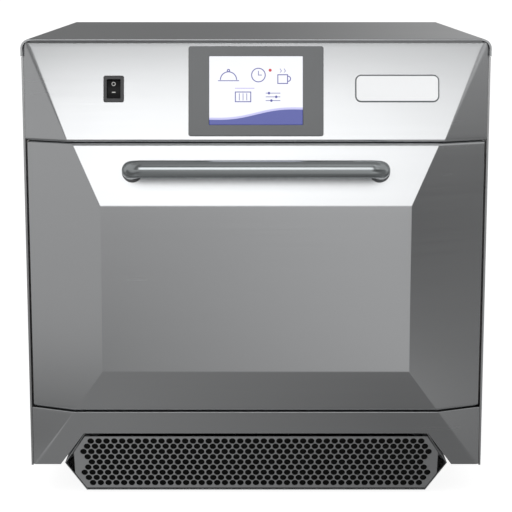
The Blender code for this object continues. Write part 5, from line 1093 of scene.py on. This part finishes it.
NYLON = compound("black_nylon", (0.022, 0.022, 0.023), 0.42, scale=1800, depth=0.00002)
gland_middle = sum(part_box("cable_gland"), Vector()) / 2
GLAND = Matrix.Translation((gland_middle.x, back_y, gland_middle.z)) @ Matrix.Rotation(-quarter, 4, "X")
ribs = [(11.6 - 0.25 * (step % 2), 9 + step) for step in range(1, 8)]
dome = [(7.4, 8), (11.4, 8), (11.6, 9), *ribs, *arc((8.6, 18.4), 3, 10, 90, 5)]
dome += [(8.4, 22), (7.6, 22), (7.2, 21), (7.2, 8), (7.4, 8)]
gland = bmesh.new()
for sides, profile in (
    (6, ((9, 0.3), (12.2, 0.3), (13, 1), (13, 7), (12.2, 7.8), (9, 7.8))),
    (36, dome),
    (36, ((7.2, -10), (10, -10), (10, 0.2), (7.2, 0.2), (7.2, -10))),
    (6, ((10, -6.5), (12.8, -6.5), (12.8, -1.6), (10, -1.6), (10, -6.5))),
    (6, ((9, 7.8), (9, 0.3))),
):
    turned(gland, [(radius * MM, z * MM) for radius, z in profile], GLAND, sides)
place_piece("cord_gland", tidy_mesh(gland), NYLON, "casing", ["cable_gland"], sharp=30)


# ---------------------------------------------------------------- door back and hinges
# Behind the shell an inner panel carries the raised choke plate, which fits the cavity's
# mouth, with a braided seal round it. Two zinc-plated hinges turn low in the door.

worn = Finish("cavity_steel_worn")
worn.feed("Metallic", 1.0)
grain = worn.noise(1.0, 3.0, worn.coordinates(scale=(30, 900, 900)))
heat = worn.noise(5.0, 3.0)
spotted = worn.noise(90.0).rise(0.66, 0.78)
tint = worn.blend(heat.rise(0.42, 0.75) * 0.55, (0.60, 0.60, 0.60), (0.56, 0.50, 0.40))
tint = worn.blend(spotted * 0.5, tint, (0.30, 0.24, 0.17))
worn.feed("Base Color", worn.blend(grain * 0.12, tint, (0.35, 0.35, 0.35)))
worn.feed("Roughness", 0.28 + heat * 0.1 + spotted * 0.25)
worn.bump(grain, 0.4, 0.00001)
CAVITY_STEEL = worn.owner
refine("door_liner", "door_inner_panel", CAVITY_STEEL, 0.4 * MM)
refine("choke_plate", "door_choke", CAVITY_STEEL, 0.5 * MM)

braid = Finish("braided_seal")
across, along, up = braid.parts(braid.coordinates())
run, lay = (across + up) * 1500, along * 2200
strands = (run + lay).math("SINE").most((run - lay).math("SINE"))
soil = braid.noise(40.0, 3.0)
braid.feed("Base Color", braid.blend(strands * 0.4 + soil * 0.5, (0.10, 0.098, 0.09), (0.27, 0.26, 0.24)))
braid.feed("Roughness", 0.7 + soil * 0.2)
braid.bump(strands, 0.8, 0.0004)
refine("mouth_seal", "door_seal", braid.owner, 1.2 * MM, steps=3)
for part in ("arm", "clevis"):
    for side in ("left", "right"):
        refine(f"hinge_{part}_{side}", f"door_hinge_{part}_{side}", ZINC, 0.35 * MM)


# ---------------------------------------------------------------- cavity
# The cooking box is welded from bright stainless sheet behind a flanged frame and sill. A
# ceramic plate covers its floor, a wire rack rests on two ledges and round jets blow down.

for name, node in (("mouth_frame", "front_frame"), ("mouth_sill", "front_sill"), ("cooking_box", "cavity_liner")):
    refine(name, node, CAVITY_STEEL)
CERAMIC = compound("glazed_ceramic", (0.60, 0.58, 0.53), 0.24, scale=420, depth=0.00004, mottle=0.06, coat=0.3)
refine("floor_tile", "cavity_floor_plate", CERAMIC, 1.2 * MM, steps=3)

rack_low, rack_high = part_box("oven_rack")
RACK_STEEL = steel("rack_wire", (0.62, 0.62, 0.62), 0.24, (300, 300, 300))
RIM_RADIUS, BAR_RADIUS = 2 * MM, 1.3 * MM
rack_size = rack_high - rack_low
sizes = {
    "Width": rack_size.x - 2 * RIM_RADIUS, "Length": rack_size.y - 2 * RIM_RADIUS, "Corner": 16 * MM,
    "Rim wire": RIM_RADIUS, "Bar wire": BAR_RADIUS, "Bars": 21, "Cross bars": 3,
    "Rise": rack_size.z / 2 - BAR_RADIUS, "Sides": 10,
}
recipe = Recipe("wire_rack", sizes)
wide, long = recipe["Width"], recipe["Length"]


def spot_at(**parts):
    return recipe.node("ShaderNodeCombineXYZ", parts)


def wire(path, radius):
    circle = recipe.node("GeometryNodeCurvePrimitiveCircle", {"Resolution": recipe["Sides"], "Radius": radius})
    values = {"Curve": path, "Profile Curve": circle, "Fill Caps": True}
    return recipe.node("GeometryNodeCurveToMesh", values)


def bars(count, span, length, run, side, rise):
    """Straight wires side by side. They lie along the run axis and are spaced along the side axis."""
    values = {"Start": spot_at(**{run: length * -0.5}), "End": spot_at(**{run: length * 0.5})}
    bar = wire(recipe.node("GeometryNodeCurvePrimitiveLine", values), recipe["Bar wire"])
    space = span / (count + 1)
    first = spot_at(**{side: span * -0.5 + space, "Z": rise})
    values = {"Count": count, "Start Location": first, "Offset": spot_at(**{side: space})}
    points = recipe.node("GeometryNodeMeshLine", values)
    return recipe.node("GeometryNodeInstanceOnPoints", {"Points": points, "Instance": bar})


outline = recipe.node("GeometryNodeCurvePrimitiveQuadrilateral", {"Width": wide, "Height": long})
values = {"Curve": outline, "Count": 8, "Radius": recipe["Corner"]}
rounded = recipe.node("GeometryNodeFilletCurve", values, {"mode": "POLY"})
parts = [
    wire(rounded, recipe["Rim wire"]),
    bars(recipe["Bars"], wide, long, "Y", "X", recipe["Rise"]),
    bars(recipe["Cross bars"], long, wide, "X", "Y", recipe["Rise"] * -1),
]
rack = recipe.make(recipe.joined(*parts), RACK_STEEL)
bmesh.ops.translate(rack, vec=(rack_low + rack_high) / 2, verts=rack.verts)
place_piece("wire_rack", rack, RACK_STEEL, "casing", ["oven_rack"], sharp=60)

DOWN = (0, 0, -1)
jet_low, jet_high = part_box("upper_jet_plate")
middle, half = (jet_low + jet_high) / 2, (jet_high - jet_low) / 2
corners = [(-half.x, -half.y), (half.x, -half.y), (half.x, half.y), (-half.x, half.y)]
holes = {
    "Radius": 7 * MM, "Pitch": half.x / 2, "Step": half.y * 2 / 3, "Columns": 4, "Rows": 3,
    "Sides": 32, "Shift": 0.0, "Cut": 0.0, "Middle": 0.0,
}
jets = perforated("jet_plate", corners, CAVITY_STEEL, holes)
bmesh.ops.translate(jets, vec=(middle.x, middle.y, jet_low.z), verts=jets.verts)
add_grid(jets, [[(middle.x + x, middle.y + y, z) for x, y in corners] for z in (jet_low.z, jet_high.z)], close=True)
place_piece(
    "hot_air_jets", tidy_mesh(jets, DOWN), CAVITY_STEEL, "casing", ["upper_jet_plate"],
    wall=SHEET, sharp=35,
)


# ---------------------------------------------------------------- inner works
# Fans, heater, microwave parts and electronics sit between the cavity and the casing. They
# are cast, galvanised, moulded or woven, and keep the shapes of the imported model.

CAST = compound("cast_metal", (0.18, 0.18, 0.185), 0.5, metallic=0.8, scale=500, depth=0.00012)
MOULDED_BLACK = compound("moulded_black", (0.025, 0.025, 0.026), 0.5, scale=1400, depth=0.00003)
MOULDED_GREY = compound("moulded_grey", (0.30, 0.30, 0.30), 0.5, scale=1400, depth=0.00003)
WOOL = compound("mineral_wool", (0.58, 0.55, 0.44), 0.95, scale=260, depth=0.0006, mottle=0.2)
BRICK = compound("catalyst_ceramic", (0.52, 0.44, 0.34), 0.8, scale=320, depth=0.0003, mottle=0.15)

fins = Finish("finned_aluminium")
_, _, up = fins.parts(fins.coordinates())
fin = (up * 1900).math("SINE")
haze = fins.noise(80.0)
fins.feed("Metallic", 1.0)
# Light bands are the aluminium fins; the dark bands between them are painted shade in the gaps.
fins.feed("Base Color", fins.blend(fin.rise(-0.4, 0.4), (0.14, 0.14, 0.15), (0.66, 0.67, 0.68)))
fins.feed("Roughness", 0.3 + haze * 0.15)
fins.bump(fin, 0.9, 0.0006)

board = Finish("circuit_board")
place = board.coordinates()
values = {"Vector": place, "Scale": 90.0}
cells = board.node("ShaderNodeTexVoronoi", values, {"distance": "CHEBYCHEV"}, "Color")
kind, shade, _ = board.parts(cells)
chip = kind.rise(0.8, 0.82)
tracks = board.node("ShaderNodeTexBrick", {"Vector": place, "Scale": 60.0, "Mortar Size": 0.03}, output="Fac")
mask = board.blend(tracks * 0.35, (0.012, 0.09, 0.035), (0.10, 0.22, 0.09))
board.feed("Base Color", board.blend(chip, mask, (0.03, 0.03, 0.032)))
board.feed("Roughness", 0.35 + shade * 0.25)
board.bump(chip, 1.0, 0.0015)

inner = {
    SPANGLE: ("hot_air_duct", "fan_chamber", "waveguide", "stirrer", "electronics_shelf"),
    CAST: ("convection_heater", "convection_motor", "hv_transformer_left", "hv_transformer_right"),
    MOULDED_BLACK: ("cooling_fan", "cooling_fan_frame"),
    MOULDED_GREY: ("interlock_switch_left", "interlock_switch_right"),
    CAVITY_STEEL: ("convection_fan",),
    WOOL: ("insulation_blanket",),
    BRICK: ("catalyst",),
    fins.owner: ("magnetron_left", "magnetron_right", "stirrer_motor"),
    board.owner: ("control_board", "display_board"),
}
for material, names in inner.items():
    for name in names:
        for place in nodes[name].material_slots:
            place.material = material
